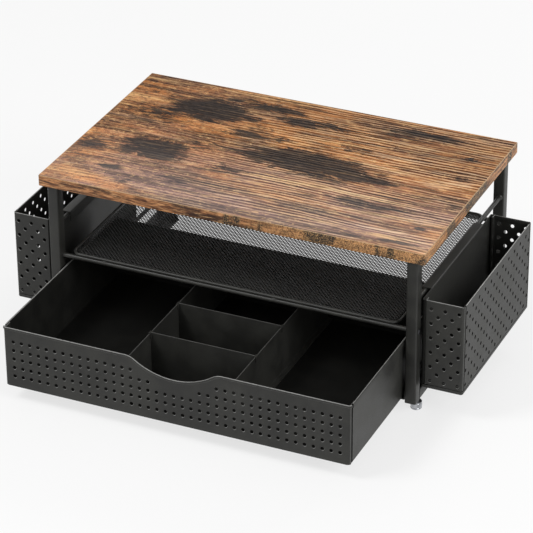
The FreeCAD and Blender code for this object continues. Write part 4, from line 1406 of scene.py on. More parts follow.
@dataclass
class SideFrame:
    """One welded frame: two legs, two rails, two rods and their welds."""

    side: Side
    inner: float = 240.0
    outer: float = 255.0
    leg_end: float = 146.0
    leg_far: float = 161.0
    floor_gap: float = 18.5
    top: float = 222.0
    tube: float = 15.0
    wall: float = 1.2
    corner: float = 2.0
    plug_inset: float = 1.3
    plug_height: float = 6.0
    bead_steps: int = 22
    rod: float = 3.0
    rod_across: float = 249.0
    hanging_level: float = 161.6
    lower_level: float = 57.0

    def tube_shell(self, low: Pair, high: Pair, run: Run, start: float, end: float) -> Shell:
        """Draws square tube out along an axis.

        Args:
            low: Lowest corner of its section.
            high: Highest corner of its section.
            run: The axis.
            start: Where it starts.
            end: Where it ends.

        Returns:
            The shell.
        """
        wall = self.wall
        inside = rectangle((low[0] + wall, low[1] + wall), (high[0] - wall, high[1] - wall))
        outer, inner = rounded(rectangle(low, high), self.corner), rounded(inside, self.corner - wall)
        return Shell().hollow(outer, inner, run, start, end)

    def bead(self, shell: Shell, end: End, level: float, up: int) -> None:
        """Adds a rippled weld along X in the corner between a rail and a leg.

        Args:
            shell: Where it goes.
            end: Which leg.
            level: Height of the corner.
            up: Sign of the open side along Z.
        """
        rings = []
        corner = self.leg_end * end.value
        for step in range(self.bead_steps + 1):
            x = self.inner + 1.2 + (self.tube - 2.4) * step / self.bead_steps
            swell = 1.5 + 0.18 * math.sin(step * 2.1) - (0.6 if step in (0, self.bead_steps) else 0.0)
            points = [(x, corner + end.value * 0.3, level - up * 0.3)]
            for angle in (math.radians(degrees) for degrees in (0, 22, 45, 68, 90)):
                reach = swell * (0.86 + 0.14 * abs(math.cos(2 * angle)))
                y, z = reach * math.cos(angle), reach * math.sin(angle)
                points.append((x, corner - end.value * y, level + up * z))
            rings.append(points)
        shell.skin(rings)

    def build(self, bench: Bench) -> None:
        """Builds the pieces.

        Args:
            bench: Makes and places them.
        """
        mirror = self.side is Side.LEFT
        for end in End:
            near, far = sorted((self.leg_end * end.value, self.leg_far * end.value))
            shell = self.tube_shell((self.inner, near), (self.outer, far), Run.Z, self.floor_gap, self.top)
            inset = self.plug_inset
            plug = rectangle((self.inner + inset, near + inset), (self.outer - inset, far - inset))
            foot = self.floor_gap
            shell.softened(rounded(plug, 0.8, 3), Run.Z, foot + 0.3, foot + self.plug_height, 0.4)
            name = f"leg_{end.word}_{self.side.word}"
            bench.piece(f"{name}_tube", name, Slot.FRAME, shell, mirror=mirror)
        for place, level, up in (("top", self.top - self.tube, -1), ("bottom", self.floor_gap, 1)):
            low, high = (self.inner, level), (self.outer, level + self.tube)
            shell = self.tube_shell(low, high, Run.Y, -self.leg_end, self.leg_end)
            for end in End:
                self.bead(shell, end, level if up < 0 else level + self.tube, up)
            name = f"{place}_rail_{self.side.word}"
            bench.piece(f"{name}_tube", name, Slot.FRAME, shell, mirror=mirror)
        weld = [(0.5, 0.0), (4.6, 0.0), (4.3, 0.5), (3.7, 1.1), (3.2, 1.9), (2.6, 2.0), (0.5, 2.0)]
        for place, level in (("hanging", self.hanging_level), ("lower", self.lower_level)):
            line = [(self.rod_across, y, level) for y in (-self.leg_end, -50.0, 50.0, self.leg_end)]
            rod = bench.bender.wire(line, self.rod, bench.finishes[Slot.FRAME], sides=24)
            shell = Shell()
            for end in End:
                turned = [(radius, -end.value * height) for radius, height in weld]
                shell.lathe(turned, (self.rod_across, self.leg_end * end.value, level), Run.Y, 20)
            name = f"{place}_rod_{self.side.word}"
            bench.piece(f"{name}_bar", name, Slot.FRAME, shell, [rod], mirror=mirror)


@dataclass(frozen=True)
class Weave:
    """One stretch of diamond mesh: its size, its round corners and its cells."""

    half_width: float
    half_depth: float
    corner_radius: float
    cell: float
    cells: int
    open_share: float


@dataclass
class Shelf:
    """Crossbars, wire rim, mesh floor and the low stop at the rear."""

    half_x: float = 227.0
    half_y: float = 153.5
    corner: float = 12.0
    level: float = 126.0
    wire: float = 2.0
    bar_level: float = 121.0
    bar_reach: float = 240.0
    bar: float = 3.0
    weld_at: tuple[float, ...] = (-180.0, -60.0, 60.0, 180.0)
    stop_half: float = 203.0
    stop_level: float = 134.6
    stop_bend: float = 6.0
    stop_wire: float = 1.5
    floor: Weave = Weave(225.0, 151.5, 10.0, 5.4, 144, 0.78)
    fence: Weave = Weave(202.0, 3.0, 2.0, 3.9, 108, 0.72)
    fence_level: float = 130.5
    sheet: float = 0.8

    def build(self, bench: Bench) -> None:
        """Builds the pieces.

        Args:
            bench: Makes and places them.
        """
        paint, wire = bench.finishes[Slot.FRAME], bench.bender.wire
        for end in End:
            places = (-self.bar_reach, -80.0, 80.0, self.bar_reach)
            line = [(x, self.half_y * end.value, self.bar_level) for x in places]
            name = f"crossbar_{end.word}"
            bench.piece(f"{name}_rod", name, Slot.FRAME, parts=[wire(line, self.bar, paint, sides=24)])
        loop = rounded(centred(self.half_x, self.half_y), self.corner, 10)
        rim = wire([(x, y, self.level) for x, y in loop], self.wire, paint, True)
        spots = Shell()
        for end in End:
            for x in self.weld_at:
                self.weld_spot(spots, x, self.half_y * end.value)
        bench.piece("shelf_rim_wire", "shelf_rim", Slot.FRAME, spots, [rim])
        foot, half = self.level + self.wire - 0.5, self.stop_half
        corners = [(-half, foot), (-half, self.stop_level), (half, self.stop_level), (half, foot)]
        bend = [(x, self.half_y, z) for x, z in rounded(corners, self.stop_bend, 8, closed=False)]
        stop = wire(bend, self.stop_wire, paint)
        bench.piece("shelf_backstop_wire", "shelf_backstop", Slot.FRAME, parts=[stop])
        self.mesh(bench)

    def weld_spot(self, shell: Shell, x: float, y: float) -> None:
        """Adds the low weld that holds the rim on a crossbar.

        Args:
            shell: Where it goes.
            x: Its middle.
            y: The wire's Y.
        """
        rings = []
        for step in range(13):
            swell = 0.35 + 1.1 * math.sin(math.pi * step / 12)
            along = x - 5.0 + 10.0 * step / 12
            level = self.level - self.wire
            angles = [math.radians(degrees) for degrees in range(0, 360, 45)]
            rings.append(
                [(along, y + (1.2 + swell) * math.cos(a), level + swell * 0.75 * math.sin(a)) for a in angles]
            )
        shell.skin(rings)

    def mesh(self, bench: Bench) -> None:
        """Grows the mesh floor in two halves, and the strip behind it.

        Args:
            bench: Makes and places them.
        """
        flat = SCALE @ Matrix.Translation((0.0, 0.0, self.level))
        upright = SCALE @ Matrix(((1, 0, 0, 0), (0, 0, -1, self.half_y), (0, 1, 0, self.fence_level), (0, 0, 0, 1)))
        for name, weave, limits, matrix in (
            ("shelf_mesh_left", self.floor, {"right_limit": 0.0}, flat),
            ("shelf_mesh_right", self.floor, {"left_limit": 0.0}, flat),
            ("shelf_fence_mesh", self.fence, {}, upright),
        ):
            cloth = bench.weaver.cloth(bench.finishes[Slot.MESH], **asdict(weave), **limits)
            made = bench.piece(name, "shelf_mesh", Slot.MESH, parts=[(cloth, matrix)])
            solid = made.modifiers.new("thickness", "SOLIDIFY")
            solid.thickness = self.sheet * MM
            solid.offset = 0.0


@dataclass
class Runner:
    """Angle strip that the drawer slides on, with a stop turned up at its rear."""

    side: Side
    inner: float = 226.0
    outer: float = 240.0
    level: float = 20.0
    height: float = 12.5
    sheet: float = 1.8
    half_length: float = 157.25
    stop_at: float = 154.1
    stop_height: float = 8.0

    def build(self, bench: Bench) -> None:
        """Builds the piece.

        Args:
            bench: Makes and places it.
        """
        seat, across = self.level + self.sheet / 2, self.outer - self.sheet / 2
        line = [(self.inner, seat), (across, seat), (across, self.level + self.height)]
        shell = Shell().prism(folded(line, self.sheet, 1.7, 5), Run.Y, -self.half_length, self.half_length)
        foot = self.level + self.sheet
        tab = rectangle((self.inner + 0.2, foot), (self.outer - self.sheet - 0.2, foot + self.stop_height))
        shell.prism(rounded(tab, 2.0), Run.Y, self.stop_at, self.stop_at + self.sheet)
        name = f"runner_{self.side.word}"
        bench.piece(f"{name}_angle", name, Slot.FRAME, shell, mirror=self.side is Side.LEFT, bevel=0.25)


@dataclass
class Hardware:
    """Screws, nuts and the levelling feet."""

    bar_screw: Triple = (255.0, 153.5, 121.0)
    board_screw: Triple = (247.5, 100.0, 207.0)
    foot_nut: Triple = (247.5, 138.3, 18.5)
    shank_length: float = 25.0
    shank_turns: int = 8
    stud_turns: int = 14

    def button_screw(self, radius: float, shank: float, height: float = 2.0, sides: int = 24) -> Shell:
        """A button head with a hexagon socket over a threaded shank.

        Args:
            radius: Radius of the head.
            shank: Radius of the shank.
            height: Height of the head.
            sides: Corners of each ring.

        Returns:
            The shell, its seat at height 0 and its head along +Z.
        """
        length, pitch = self.shank_length, self.shank_length * 0.6 / self.shank_turns
        profile = []
        for turn in range(self.shank_turns):
            low = -length + pitch * turn
            profile += [(shank * 0.9, low), (shank, low + pitch / 2)]
        profile += [(shank, -length * 0.4), (shank, 0.0), (radius, 0.0), (radius, height * 0.35)]
        for angle in (math.radians(degrees) for degrees in (20, 40, 55)):
            profile.append((radius * math.cos(angle) * 0.98 + 0.02, height * (0.35 + 0.65 * math.sin(angle))))
        socket = radius * 0.5
        profile.append((socket * 1.16, height))
        rings = [ring(out, up, sides) for out, up in profile]
        for up in (height - 0.1, height * 0.35):
            points = []
            for x, y, z in ring(1.0, up, sides):
                within = (math.atan2(y, x) + math.pi / 6) % (math.pi / 3) - math.pi / 6
                flat = socket * math.cos(math.pi / 6) / math.cos(within)
                points.append((flat * x, flat * y, z))
            rings.append(points)
        return Shell().skin(rings)

    def foot(self) -> Shell:
        """A levelling foot: a ridged drum and its threaded stud, from the desk up.

        Returns:
            The shells of both.
        """
        sides = 48
        profile = [(5.6, 0.0), (6.2, 0.0), (7.1, 0.7), (7.35, 1.5), (7.35, 2.2), (7.1, 2.5), (7.1, 2.9), (7.45, 3.2)]
        profile += [(7.45, 9.0), (7.1, 9.3), (7.1, 9.6), (7.4, 9.9), (7.2, 10.6), (6.6, 11.0), (3.2, 11.0)]
        rings = []
        for radius, up in profile:
            ridge = 0.14 if 3.1 < up < 9.1 else 0.0
            crests, valleys = ring(radius, up, sides), ring(radius - ridge, up, sides)
            rings.append([(valleys if index % 2 else crests)[index] for index in range(sides)])
        shell = Shell().skin(rings)
        pitch = 14.6 / (self.stud_turns + 0.6)
        threads = []
        for turn in range(self.stud_turns + 1):
            low = 10.6 + pitch * turn
            threads += [ring(2.65, low, 20), ring(2.95, low + pitch / 2, 20)]
        return shell.skin(threads)

    def nut(self) -> Shell:
        """A pressed-in nut: a thin flange and a sleeve, open through.

        Returns:
            The shell, the rail's face at height 0 and the sleeve along +Z.
        """
        bore, sleeve, flange = 3.05, 4.45, 6.4
        profile = [(bore, 10.0), (bore, -0.5), (bore + 0.3, -0.8), (flange - 0.3, -0.8), (flange, -0.5)]
        profile += [(flange, -0.1), (flange - 0.1, 0.0), (sleeve, 0.0), (sleeve, 9.7), (sleeve - 0.3, 10.0)]
        return Shell().skin([ring(radius, up, 36) for radius, up in profile], looped=True)

    def build(self, bench: Bench) -> None:
        """Builds the pieces.

        Args:
            bench: Makes and places them.
        """
        corners = [(side, end) for side in Side for end in End]
        down, up = (0.0, 0.0, -1.0), (0.0, 0.0, 1.0)
        bar, board = self.button_screw(3.95, 1.95), self.button_screw(3.45, 1.7)
        for name, node, slot, shell, (x, y, z), facing in (
            ("crossbar_button_screws", "crossbar_screws", Slot.SCREW, bar, self.bar_screw, None),
            ("board_button_screws", "board_screws", Slot.SCREW, board, self.board_screw, down),
            ("foot_insert_nuts", "foot_nuts", Slot.NUT, self.nut(), self.foot_nut, up),
        ):
            spots = [(x * side.value, y * end.value, z) for side, end in corners]
            copies = bench.fastener.placed(shell, spots, facing, bench.finishes[slot])
            bench.piece(name, node, slot, parts=[copies])
        for side, end in corners:
            name = f"foot_{end.word}_{side.word}"
            shell = self.foot().moved(self.foot_nut[0] * side.value, self.foot_nut[1] * end.value)
            bench.piece(f"{name}_leveller", name, Slot.CHROME, shell, body=name, smooth=28.0)


# The drawer


@dataclass
class Drawer:
    """Folded tray, perforated scooped front and the two long dividers."""

    half: float = 235.65
    front: float = -326.0
    depth: float = 315.0
    underside: float = 21.8
    height: float = 84.3
    sheet: float = 1.0
    hem_depth: float = 6.0
    hem_out: float = 1.4
    hem_taper: float = 5.0
    proud: float = 0.4
    side_proud: float = 1.3
    bead_height: float = 2.9
    seam: float = 3.8
    radius: float = 3.5
    lap: float = 12.0
    scoop_half: float = 66.0
    scoop_depth: float = 21.0
    scoop_radius: float = 92.0
    columns: int = 39
    rows: int = 5
    column_pitch: float = 11.7
    row_pitch: float = 12.4
    first_drop: float = 19.6
    tray_bend: float = 2.0
    tray_corner: float = 4.5
    floor_inset: float = 4.0
    divider_at: float = 72.7
    divider_drop: float = 16.6
    divider_foot: float = 8.0

    @property
    def rim(self) -> float:
        """Height of the rim over the desk."""
        return self.underside + self.height

    def rim_line(self) -> list[Pair]:
        """The front's upper edge with its scoop, from right to left.

        Returns:
            Points across and up.
        """
        width, depth, big = self.scoop_half, self.scoop_depth, self.scoop_radius
        small = (width * width + depth * depth) / (depth * 2) - big
        turn = math.degrees(math.asin(width / (big + small)))
        flat = self.half - self.radius
        line = [(flat, self.rim)]
        line += arc((width, self.rim - small), small, 90.0, 90.0 + turn, 9)
        line += arc((0.0, self.rim - depth + big), big, 270.0 + turn, 270.0 - turn, 20)[1:-1]
        line += arc((-width, self.rim - small), small, 90.0 - turn, 90.0, 9)
        return line + [(-flat, self.rim)]

    def bead(self) -> list[Pair]:
        """Section of the front's upper edge: a low bead outside, a round crown and a hem inside.

        Returns:
            Pairs of the distance in from the foremost face and the height over the rim.
        """
        total = self.proud + self.sheet * 2
        half, down, seat = total / 2, -self.bead_height, self.proud + self.sheet
        line = [(self.proud, down), (0.15, down), (0.0, down + 0.3)]
        line += [(half - half * math.cos(a), math.sin(a) - 1.0) for a in (math.radians(b) for b in range(0, 181, 20))]
        line += [(total, 0.2 - self.hem_depth), (total - 0.25, -self.hem_depth), (seat + 0.1, -self.hem_depth)]
        return line + [(seat, -1.02), (self.proud, -1.02)]

    def front_panel(self, bench: Bench) -> None:
        """Builds the perforated front with its hem, round corners and laps.

        Args:
            bench: Makes and places it.
        """
        flat = self.half - self.radius
        rim = self.rim_line()
        face = self.front + self.proud
        panel = bench.perforator.sheet(
            [(-flat, self.underside), (flat, self.underside)] + shifted(rim, -1.0),
            bench.finishes[Slot.SHEET],
            columns=self.columns,
            rows=self.rows,
            column_pitch=self.column_pitch,
            row_pitch=self.row_pitch,
            first_row=self.rim - self.first_drop,
            first_row_gap=self.column_pitch * 4.5,
            second_row_gap=self.column_pitch * 2.5,
            thickness=self.sheet,
        )
        bead = self.bead()
        shell = Shell().sweep([(up, self.front + inward) for inward, up in bead], rim, Run.Y, worn=BEAD_WEAR_AND_PAINTED_HIGHLIGHT)
        middle = face + self.radius
        wrap = corner_wrap(self.half, self.radius, self.sheet, self.lap)
        out, ahead = self.radius + self.side_proud, self.radius + self.proud
        angles = [math.radians(degrees) for degrees in range(-90, 1, 10)]
        for side in Side:
            sign = side.value
            corner = [((flat + out * math.cos(angle)) * sign, middle + ahead * math.sin(angle)) for angle in angles]
            shell.sweep([(-inward, self.rim + up) for inward, up in bead], corner[::sign], Run.Z, worn=BEAD_WEAR_AND_PAINTED_HIGHLIGHT)
            strip = [(x * sign, middle + y) for x, y in wrap]
            worn = WRAP_WEAR_AND_PAINTED_LIGHT
            if side is Side.LEFT:
                worn = {len(strip) - 2 - place: value for place, value in WRAP_WEAR_AND_PAINTED_LIGHT.items()}
            # Its round ends are worn and painted with highlight, and its seam groove painted with shade
            shell.softened(strip[::sign], Run.Z, self.underside + 0.25, self.rim - 1.0, 0.3, worn=worn)
        parts = [(panel, facing_front(face))]
        bench.piece("drawer_front_panel", "drawer_front", Slot.SHEET, shell, parts, "drawer")

    def tray(self, bench: Bench) -> None:
        """Builds the tray: walls with a round bend below and a hem above, and the floor.

        Args:
            bench: Makes and places it.
        """
        start = self.front + self.proud + self.radius + self.seam
        back = self.front + self.depth
        right = [(self.half, start), (self.half, start + self.hem_taper), (self.half, back)]
        path = rounded(right + [(-x, y) for x, y in right[::-1]], self.tray_corner, 6, False)
        low, rim, wall, out = self.underside, self.rim, self.sheet, self.hem_out
        bend, inset = self.tray_bend, self.floor_inset
        crown, hem = (out + wall) / 2, rim - self.hem_depth
        section = [(-inset, low + wall), (-bend, low + wall)]
        section += arc((-bend, low + bend), bend - wall, -90, 0, 4)
        section += arc(((out - wall) / 2, rim - crown), crown, 180, 0, 10)
        section += [(out, hem + 0.3), (out - 0.3, hem), (0.4, hem), (0.4, rim - 2.4), (0.0, rim - 2.4)]
        section += arc((-bend, low + bend), bend, 0, -90, 6)
        section.append((-inset, low))
        shell = Shell().sweep(section, path, Run.Z, worn=TRAY_WEAR_AND_PAINTED_LIGHT, tapered=0.6)
        # Painted shade on the cut ends of the walls, in the seam behind the front's corners
        shell.worn |= {len(shell.faces) - 1: -1.0, len(shell.faces) - 2: -1.0}
        floor = rectangle((-self.half + inset, self.front + wall), (self.half - inset, back - inset))
        shell.prism(rounded(floor, 0.5, 3), Run.Z, low, low + wall)
        # Painted shade on the floor's upper face, inside the drawer
        shell.worn[len(shell.faces) - 1] = -0.7
        bench.piece("drawer_tray_folded", "drawer_tray", Slot.SHEET, shell, body="drawer")

    def dividers(self, bench: Bench) -> None:
        """Builds the long dividers.

        Args:
            bench: Makes and places them.
        """
        at, half = self.divider_at, self.sheet / 2
        seat, crest = self.underside + self.sheet + half, self.rim - self.divider_drop - half
        start, end = self.front + 2.2, self.front + self.depth - 1.2
        outline = folded([(at + self.divider_foot, seat), (at, seat), (at, crest)], self.sheet, 1.3)
        for side in Side:
            shell = Shell().prism(outline, Run.Y, start, end)
            # The round top is worn and painted with a faint highlight
            shell.prism(arc((at, crest), half, 0, 180, 8), Run.Y, start, end, dict.fromkeys(range(8), 0.3))
            name = f"long_divider_{side.word}"
            mirror = side is Side.LEFT
            bench.piece(f"{name}_sheet", name, Slot.SHEET, shell, body="drawer", mirror=mirror)

    def build(self, bench: Bench) -> None:
        """Builds the pieces.

        Args:
            bench: Makes and places them.
        """
        self.tray(bench)
        self.front_panel(bench)
        self.dividers(bench)


@dataclass
class CrossDivider:
    """Lift-out divider with a saddle at each end."""

    name: str
    y: float
    half: float = 71.9
    low: float = 23.1
    top: float = 89.5
    sheet: float = 1.0
    outer: float = 73.5
    hook_drop: float = 7.0
    hook_length: float = 6.0

    def build(self, bench: Bench) -> None:
        """Builds the piece.

        Args:
            bench: Makes and places it.
        """
        wall, thick, reach = self.sheet, self.sheet / 2, self.hook_length / 2
        plate = rounded(rectangle((-self.half, self.low), (self.half, self.top + wall)), 1.2)
        # Its edges are worn and painted with a faint highlight
        shell = Shell().softened(plate, Run.Y, self.y - thick, self.y + thick, 0.25, 0.3)
        near, far = self.half - thick, self.outer + thick
        foot, crest = self.top - self.hook_drop, self.top + thick
        for side in Side:
            hook = [(x * side.value, z) for x, z in ((near, foot), (near, crest), (far, crest), (far, foot))]
            shell.prism(folded(hook, wall, 0.8), Run.Y, self.y - reach, self.y + reach)
        bench.piece(f"{self.name}_plate", self.name, Slot.SHEET, shell, body=self.name)


# The hanging holders


@dataclass
class HangingHolder:
    """One hanging holder: back plate with its hook, two ends, a long side, a base pan and bumpers."""

    side: Side
    back: float = 257.2
    start: float = -150.0
    length: float = 241.6
    width: float = 55.6
    low: float = 40.2
    height: float = 125.6
    back_width: float = 4.7
    back_sheet: float = 1.2
    back_bend: float = 1.4
    sheet: float = 1.0
    lap: float = 8.0
    radius: float = 3.5
    seam: float = 2.6
    hem_depth: float = 5.0
    base: float = 5.5
    base_edge: float = 0.8
    base_play: float = 0.4
    lip: float = 0.8
    lip_top: float = 11.5
    hole_drop: float = 11.4
    hole_rise: float = 10.3
    end_columns: int = 5
    end_pitch: float = 9.2
    side_columns: int = 22
    side_pitch: float = 10.6
    rows: int = 6
    hook_drop: float = 3.0
    hook_half: float = 90.8
    hook_reach: float = 12.7
    hook_lip: float = 13.7
    bumper_level: float = 57.0
    bumper_inset: float = 30.0

    @property
    def top(self) -> float:
        """Height of the rim over the desk."""
        return self.low + self.height

    @property
    def end(self) -> float:
        """Y of the rear face."""
        return self.start + self.length

    def put(
        self,
        bench: Bench,
        node: str,
        shell: Shell,
        parts: Sequence[Grown] = (),
        slot: Slot = Slot.SHEET,
        bevel: float = 0.0,
    ) -> None:
        """Makes a piece of this holder, mirrored on the left.

        Args:
            bench: Makes and places it.
            node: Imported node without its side.
            shell: Its shells.
            parts: Its grown meshes.
            slot: Its material slot.
            bevel: Width of a soft edge in millimetres.
        """
        word = self.side.word
        name, mirror = f"{node}_{word}", self.side is Side.LEFT
        bench.piece(f"{name}_panel", name, slot, shell, parts, f"holder_{word}", mirror, bevel)

    def perforated(
        self, bench: Bench, outline: Line, columns: int, pitch: float, middle: float, **lip: float
    ) -> Mesh:
        """Grows a panel with the staggered rows of holes that all panels share.

        Args:
            bench: Holds the grower.
            outline: Border of the panel.
            columns: Number of columns.
            pitch: Distance between them.
            middle: Place of the middle column.
            **lip: What differs about the holes' lips.

        Returns:
            The mesh in its own plane.
        """
        return bench.perforator.sheet(
            outline,
            bench.finishes[Slot.SHEET],
            columns=columns,
            rows=self.rows,
            middle=middle,
            column_pitch=pitch,
            row_pitch=self.hole_rise * 2,
            stagger=self.hole_rise,
            short_column=1,
            first_row=self.top - self.hole_drop,
            thickness=self.sheet,
            **lip,
        )

    def back_plate(self, bench: Bench) -> None:
        """Builds the back plate with its returns and the hook.

        Args:
            bench: Makes and places it.
        """
        sheet, half, top = self.back_sheet, self.back_sheet / 2, self.top
        near, far = self.back + half, self.back + self.back_width - half
        first, last, step = self.start + half, self.end - half, top - self.hook_drop
        front = [(far, self.start + self.lap), (far, first), (near, first)]
        rear = [(near, last), (far, last), (far, self.end - self.lap)]
        middle = self.start + self.length / 2
        low, high = middle - self.hook_half, middle + self.hook_half
        shell = Shell().prism(folded(front + rear, sheet, self.back_bend), Run.Z, self.low + self.base, step)
        for line in (front + [(near, low - 0.4)], [(near, high + 0.4)] + rear):
            shell.prism(folded(line, sheet, self.back_bend), Run.Z, step, top)
        out = near - self.hook_reach
        hook = [(near, step), (near, top - half), (out, top - half), (out, top - self.hook_lip)]
        shell.prism(folded(hook, sheet, 1.5, 5), Run.Y, low, high)
        # The front return, beside the leg, is painted with shade
        self.put(bench, "holder_back", shell.shaded(self.start + 1.0, -0.8), bevel=0.1)

    def end_panel(self, bench: Bench, end: End) -> None:
        """Builds one perforated end.

        Args:
            bench: Makes and places it.
            end: Which end.
        """
        turn = -end.value
        face = self.start if end is End.FRONT else self.end
        left, right = self.back + self.back_width, self.back + self.width
        low, top, half = self.low + self.base, self.top, self.sheet / 2
        bend, flat = left + 1.6, right - self.radius
        outline = [(x * turn, z) for x, z in rectangle((bend, low), (flat, top - 1.0))][::turn]
        panel = self.perforated(bench, outline, self.end_columns, self.end_pitch, (left + right) / 2 * turn)
        section = rim_section(self.sheet, self.sheet, self.hem_depth, turn, face)
        shell = Shell().sweep(section, [(flat, top), (bend, top)], Run.Y, worn=RIM_WEAR_AND_PAINTED_HIGHLIGHT)
        inside = face + turn * half
        line = [(left + half, face + turn * self.lap), (left + half, inside), (bend, inside)]
        # These strips' round ends are worn and painted with highlight
        shell.softened(folded(line, self.sheet, 1.0), Run.Z, low, top, 0.3)
        wrap = corner_wrap(right, self.radius, self.sheet, self.lap - self.radius)
        strip = [(x, face + turn * (self.radius + y)) for x, y in wrap]
        shell.softened(strip, Run.Z, low, top, 0.3, worn=WRAP_WEAR_AND_PAINTED_LIGHT)
        matrix = facing_front(face) if end is End.FRONT else facing_rear(face)
        self.put(bench, f"holder_{end.word}_end", shell, [(panel, matrix)])

    def side_panel(self, bench: Bench) -> None:
        """Builds the long perforated side.

        Args:
            bench: Makes and places it.
        """
        inset = self.radius + self.seam
        near, far = self.start + inset, self.end - inset
        face, top = self.back + self.width, self.top
        outline = rectangle((near, self.low + self.base), (far, top - 0.5))
        middle, lip = (self.start + self.end) / 2, {"lip": 0.25, "lip_depth": 0.25, "lip_wear": 0.0}
        panel = self.perforated(bench, outline, self.side_columns, self.side_pitch, middle, **lip)
        shell = Shell()
        first, last = self.start + self.lap + 0.3, self.end - self.lap - 0.3
        for start, end, hem in ((near, first, 0.0), (first, last, self.sheet), (last, far, 0.0)):
            section = rim_section(self.sheet, hem, self.hem_depth, -1.0, face)
            shell.sweep(section, [(end, top), (start, top)], Run.X, worn=RIM_WEAR_AND_PAINTED_HIGHLIGHT)
        self.put(bench, "holder_side", shell, [(panel, facing_right(face))])

    def lip_line(self, inset: float) -> list[Pair]:
        """Outline of the pan's lip, which follows the flanges of the panels.

        Args:
            inset: How far inside its outer face.

        Returns:
            The outline.
        """
        gap = self.base_play + inset
        rear, flange = self.back + self.back_sheet + gap, self.back + self.back_width + self.sheet + gap
        side = self.back + self.width - self.sheet * 2 - gap
        near, last = self.start + self.sheet + gap, self.end - self.sheet - gap
        front_notch, rear_notch = self.start + self.lap + gap, self.end - self.lap - gap
        line = [(flange, near), (side, near), (side, last), (flange, last)]
        return line + [(flange, rear_notch), (rear, rear_notch), (rear, front_notch), (flange, front_notch)]

    def base_pan(self, bench: Bench) -> None:
        """Builds the pan under the panels.

        Args:
            bench: Makes and places it.
        """
        block = rounded(rectangle((self.back, self.start), (self.back + self.width, self.end)), 3.4, 5)
        low, top, edge = self.low, self.low + self.base, self.base_edge
        steps = ((low, edge), (low + 0.25, 0.25), (low + edge, 0.0), (top - 1.3, 0.0), (top - 1.05, 0.25))
        lines = [(shifted(block, -inset, True), along) for along, inset in steps]
        shell = Shell().skin([[Run.Z.spot(a, b, along) for a, b in line] for line, along in lines])
        # Painted shade on the pan's top, in the gap under the panels
        shell.worn[len(shell.faces) - 1] = -0.9
        shell.hollow(self.lip_line(0.0), self.lip_line(self.lip), Run.Z, low + self.sheet, low + self.lip_top)
        self.put(bench, "holder_base", shell)

    def bumpers(self, bench: Bench) -> None:
        """Builds the two rubber buttons on the back plate.

        Args:
            bench: Makes and places them.
        """
        shell = Shell()
        profile = [(0.6, 0.0), (4.4, 0.0), (4.5, -0.4), (4.5, -3.4), (4.2, -4.3)]
        profile += [(3.4, -4.8), (2.2, -4.9), (1.6, -4.6), (0.6, -4.5)]
        for y in (self.start + self.bumper_inset, self.end - self.bumper_inset):
            shell.lathe(profile, (self.back, y, self.bumper_level), Run.X, 28)
        self.put(bench, "holder_bumpers", shell, slot=Slot.RUBBER)

    def build(self, bench: Bench) -> None:
        """Builds the pieces.

        Args:
            bench: Makes and places them.
        """
        self.back_plate(bench)
        for end in End:
            self.end_panel(bench, end)
        self.side_panel(bench)
        self.base_pan(bench)
        self.bumpers(bench)


# The studio


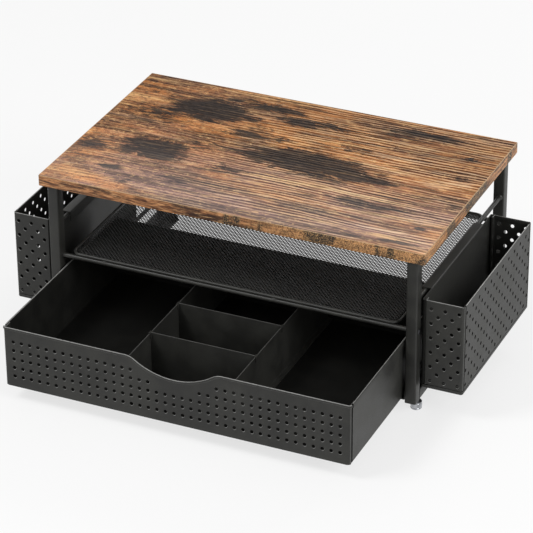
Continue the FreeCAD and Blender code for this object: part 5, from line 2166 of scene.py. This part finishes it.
@dataclass
class Studio:
    """Pale floor, soft lights and the camera at the photograph's viewpoint."""

    right: Triple = (0.912255, 0.409561, -0.007152)
    up: Triple = (-0.194575, 0.44863, 0.87228)
    back: Triple = (0.36046, -0.79435, 0.488955)
    position: Triple = (1.35905, -3.04043, 1.94435)
    lens: float = 196.055
    sensor: float = 36.0
    aim: Triple = (0.0, -0.05, 0.1)
    world: float = 0.36
    floor_reach: float = 12.0
    floor_shade: float = 0.88
    shadow: float = 0.27
    white: float = 1.0

    def camera(self) -> None:
        """Places the camera."""
        data = bpy.data.cameras.new("camera")
        data.sensor_width = self.sensor
        data.lens = self.lens
        data.clip_start, data.clip_end = 0.05, 60.0
        made = scene_object("camera", data)
        turn = Matrix((self.right, self.up, self.back)).transposed()
        made.matrix_world = Matrix.Translation(self.position) @ turn.to_4x4()
        bpy.context.scene.camera = made

    def light(self, name: str, place: Triple, size: Pair, power: float) -> None:
        """Adds a soft area light that points at the object.

        Args:
            name: Its name.
            place: Where it stands.
            size: Its width and height.
            power: Its power in watts.
        """
        data = bpy.data.lights.new(name, "AREA")
        data.shape = "RECTANGLE"
        data.size, data.size_y = size
        data.energy = power
        made = scene_object(name, data)
        made.location = place
        made.rotation_mode = "QUATERNION"
        made.rotation_quaternion = (Vector(self.aim) - Vector(place)).to_track_quat("-Z", "Y")

    def looked_at(self, graph: Graph) -> Socket:
        """Tells the rays that the eye follows from those that light the object.

        Args:
            graph: The node tree it goes into.

        Returns:
            1 for camera, glossy and transmission rays, else 0.
        """
        rays = graph.add("ShaderNodeLightPath").outputs
        mirrored = graph.math("MAXIMUM", rays["Is Camera Ray"], rays["Is Glossy Ray"])
        return graph.math("MAXIMUM", mirrored, rays["Is Transmission Ray"])

    def sky(self) -> None:
        """Lights the world evenly and shows it white behind the object."""
        world = bpy.data.worlds.new("studio")
        world.use_nodes = True
        graph = Graph(world.node_tree)
        graph.tree.nodes.clear()
        shades = [
            graph.add("ShaderNodeBackground", {"Color": (1.0, 1.0, 1.0, 1.0), "Strength": strength}).outputs[0]
            for strength in (self.world, self.white)
        ]
        mixed = graph.add("ShaderNodeMixShader", {0: self.looked_at(graph), 1: shades[0], 2: shades[1]})
        graph.add("ShaderNodeOutputWorld", {0: mixed.outputs[0]})
        bpy.context.scene.world = world

    def floor(self) -> None:
        """Lays a pale floor that looks white and keeps a soft shadow."""
        mesh = bpy.data.meshes.new("floor")
        corners = centred(self.floor_reach, self.floor_reach)
        mesh.from_pydata([(x, y, 0.0) for x, y in corners], [], [(0, 1, 2, 3)])
        p = Paint("floor")
        shade, paler = self.floor_shade, self.floor_shade + 0.02
        colour = p.blend(p.noise(2.0, 2.0), (shade, shade, shade, 1.0), (paler, paler, paler, 1.0))
        mesh.materials.append(p.finish(Base_Color=colour, Roughness=0.9, Specular_IOR_Level=0.0))
        glow = p.add("ShaderNodeEmission", {0: (1.0, 1.0, 1.0, 1.0), 1: self.white}).outputs[0]
        share = p.times(self.looked_at(p), 1.0 - self.shadow)
        mixed = p.add("ShaderNodeMixShader", {0: share, 1: p.shader.outputs[0], 2: glow})
        p.tree.links.new(mixed.outputs[0], p.tree.nodes["Material Output"].inputs[0])
        scene_object("floor", mesh)

    def build(self) -> None:
        """Builds the studio."""
        self.camera()
        self.sky()
        self.floor()
        self.light("key", (2.4, -0.9, 1.7), (1.4, 1.4), 36.0)
        self.light("left_high", (-1.2, -1.3, 2.3), (0.9, 0.9), 34.0)
        self.light("rear", (0.4, 2.5, 1.8), (1.8, 0.6), 24.0)
        bpy.context.scene.view_settings.view_transform = "Standard"


def main() -> None:
    """Builds the whole scene."""
    logging.basicConfig(level=logging.INFO, format="%(message)s", stream=sys.stdout)
    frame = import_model()
    bench = Bench(frame["nodes"])
    Top().build(bench)
    for side in Side:
        SideFrame(side).build(bench)
        Runner(side).build(bench)
        HangingHolder(side).build(bench)
    Shelf().build(bench)
    Hardware().build(bench)
    Drawer().build(bench)
    CrossDivider("cross_divider_front", -240.0).build(bench)
    CrossDivider("cross_divider_rear", -160.0).build(bench)
    Studio().build()


if __name__ == "__main__":
    main()
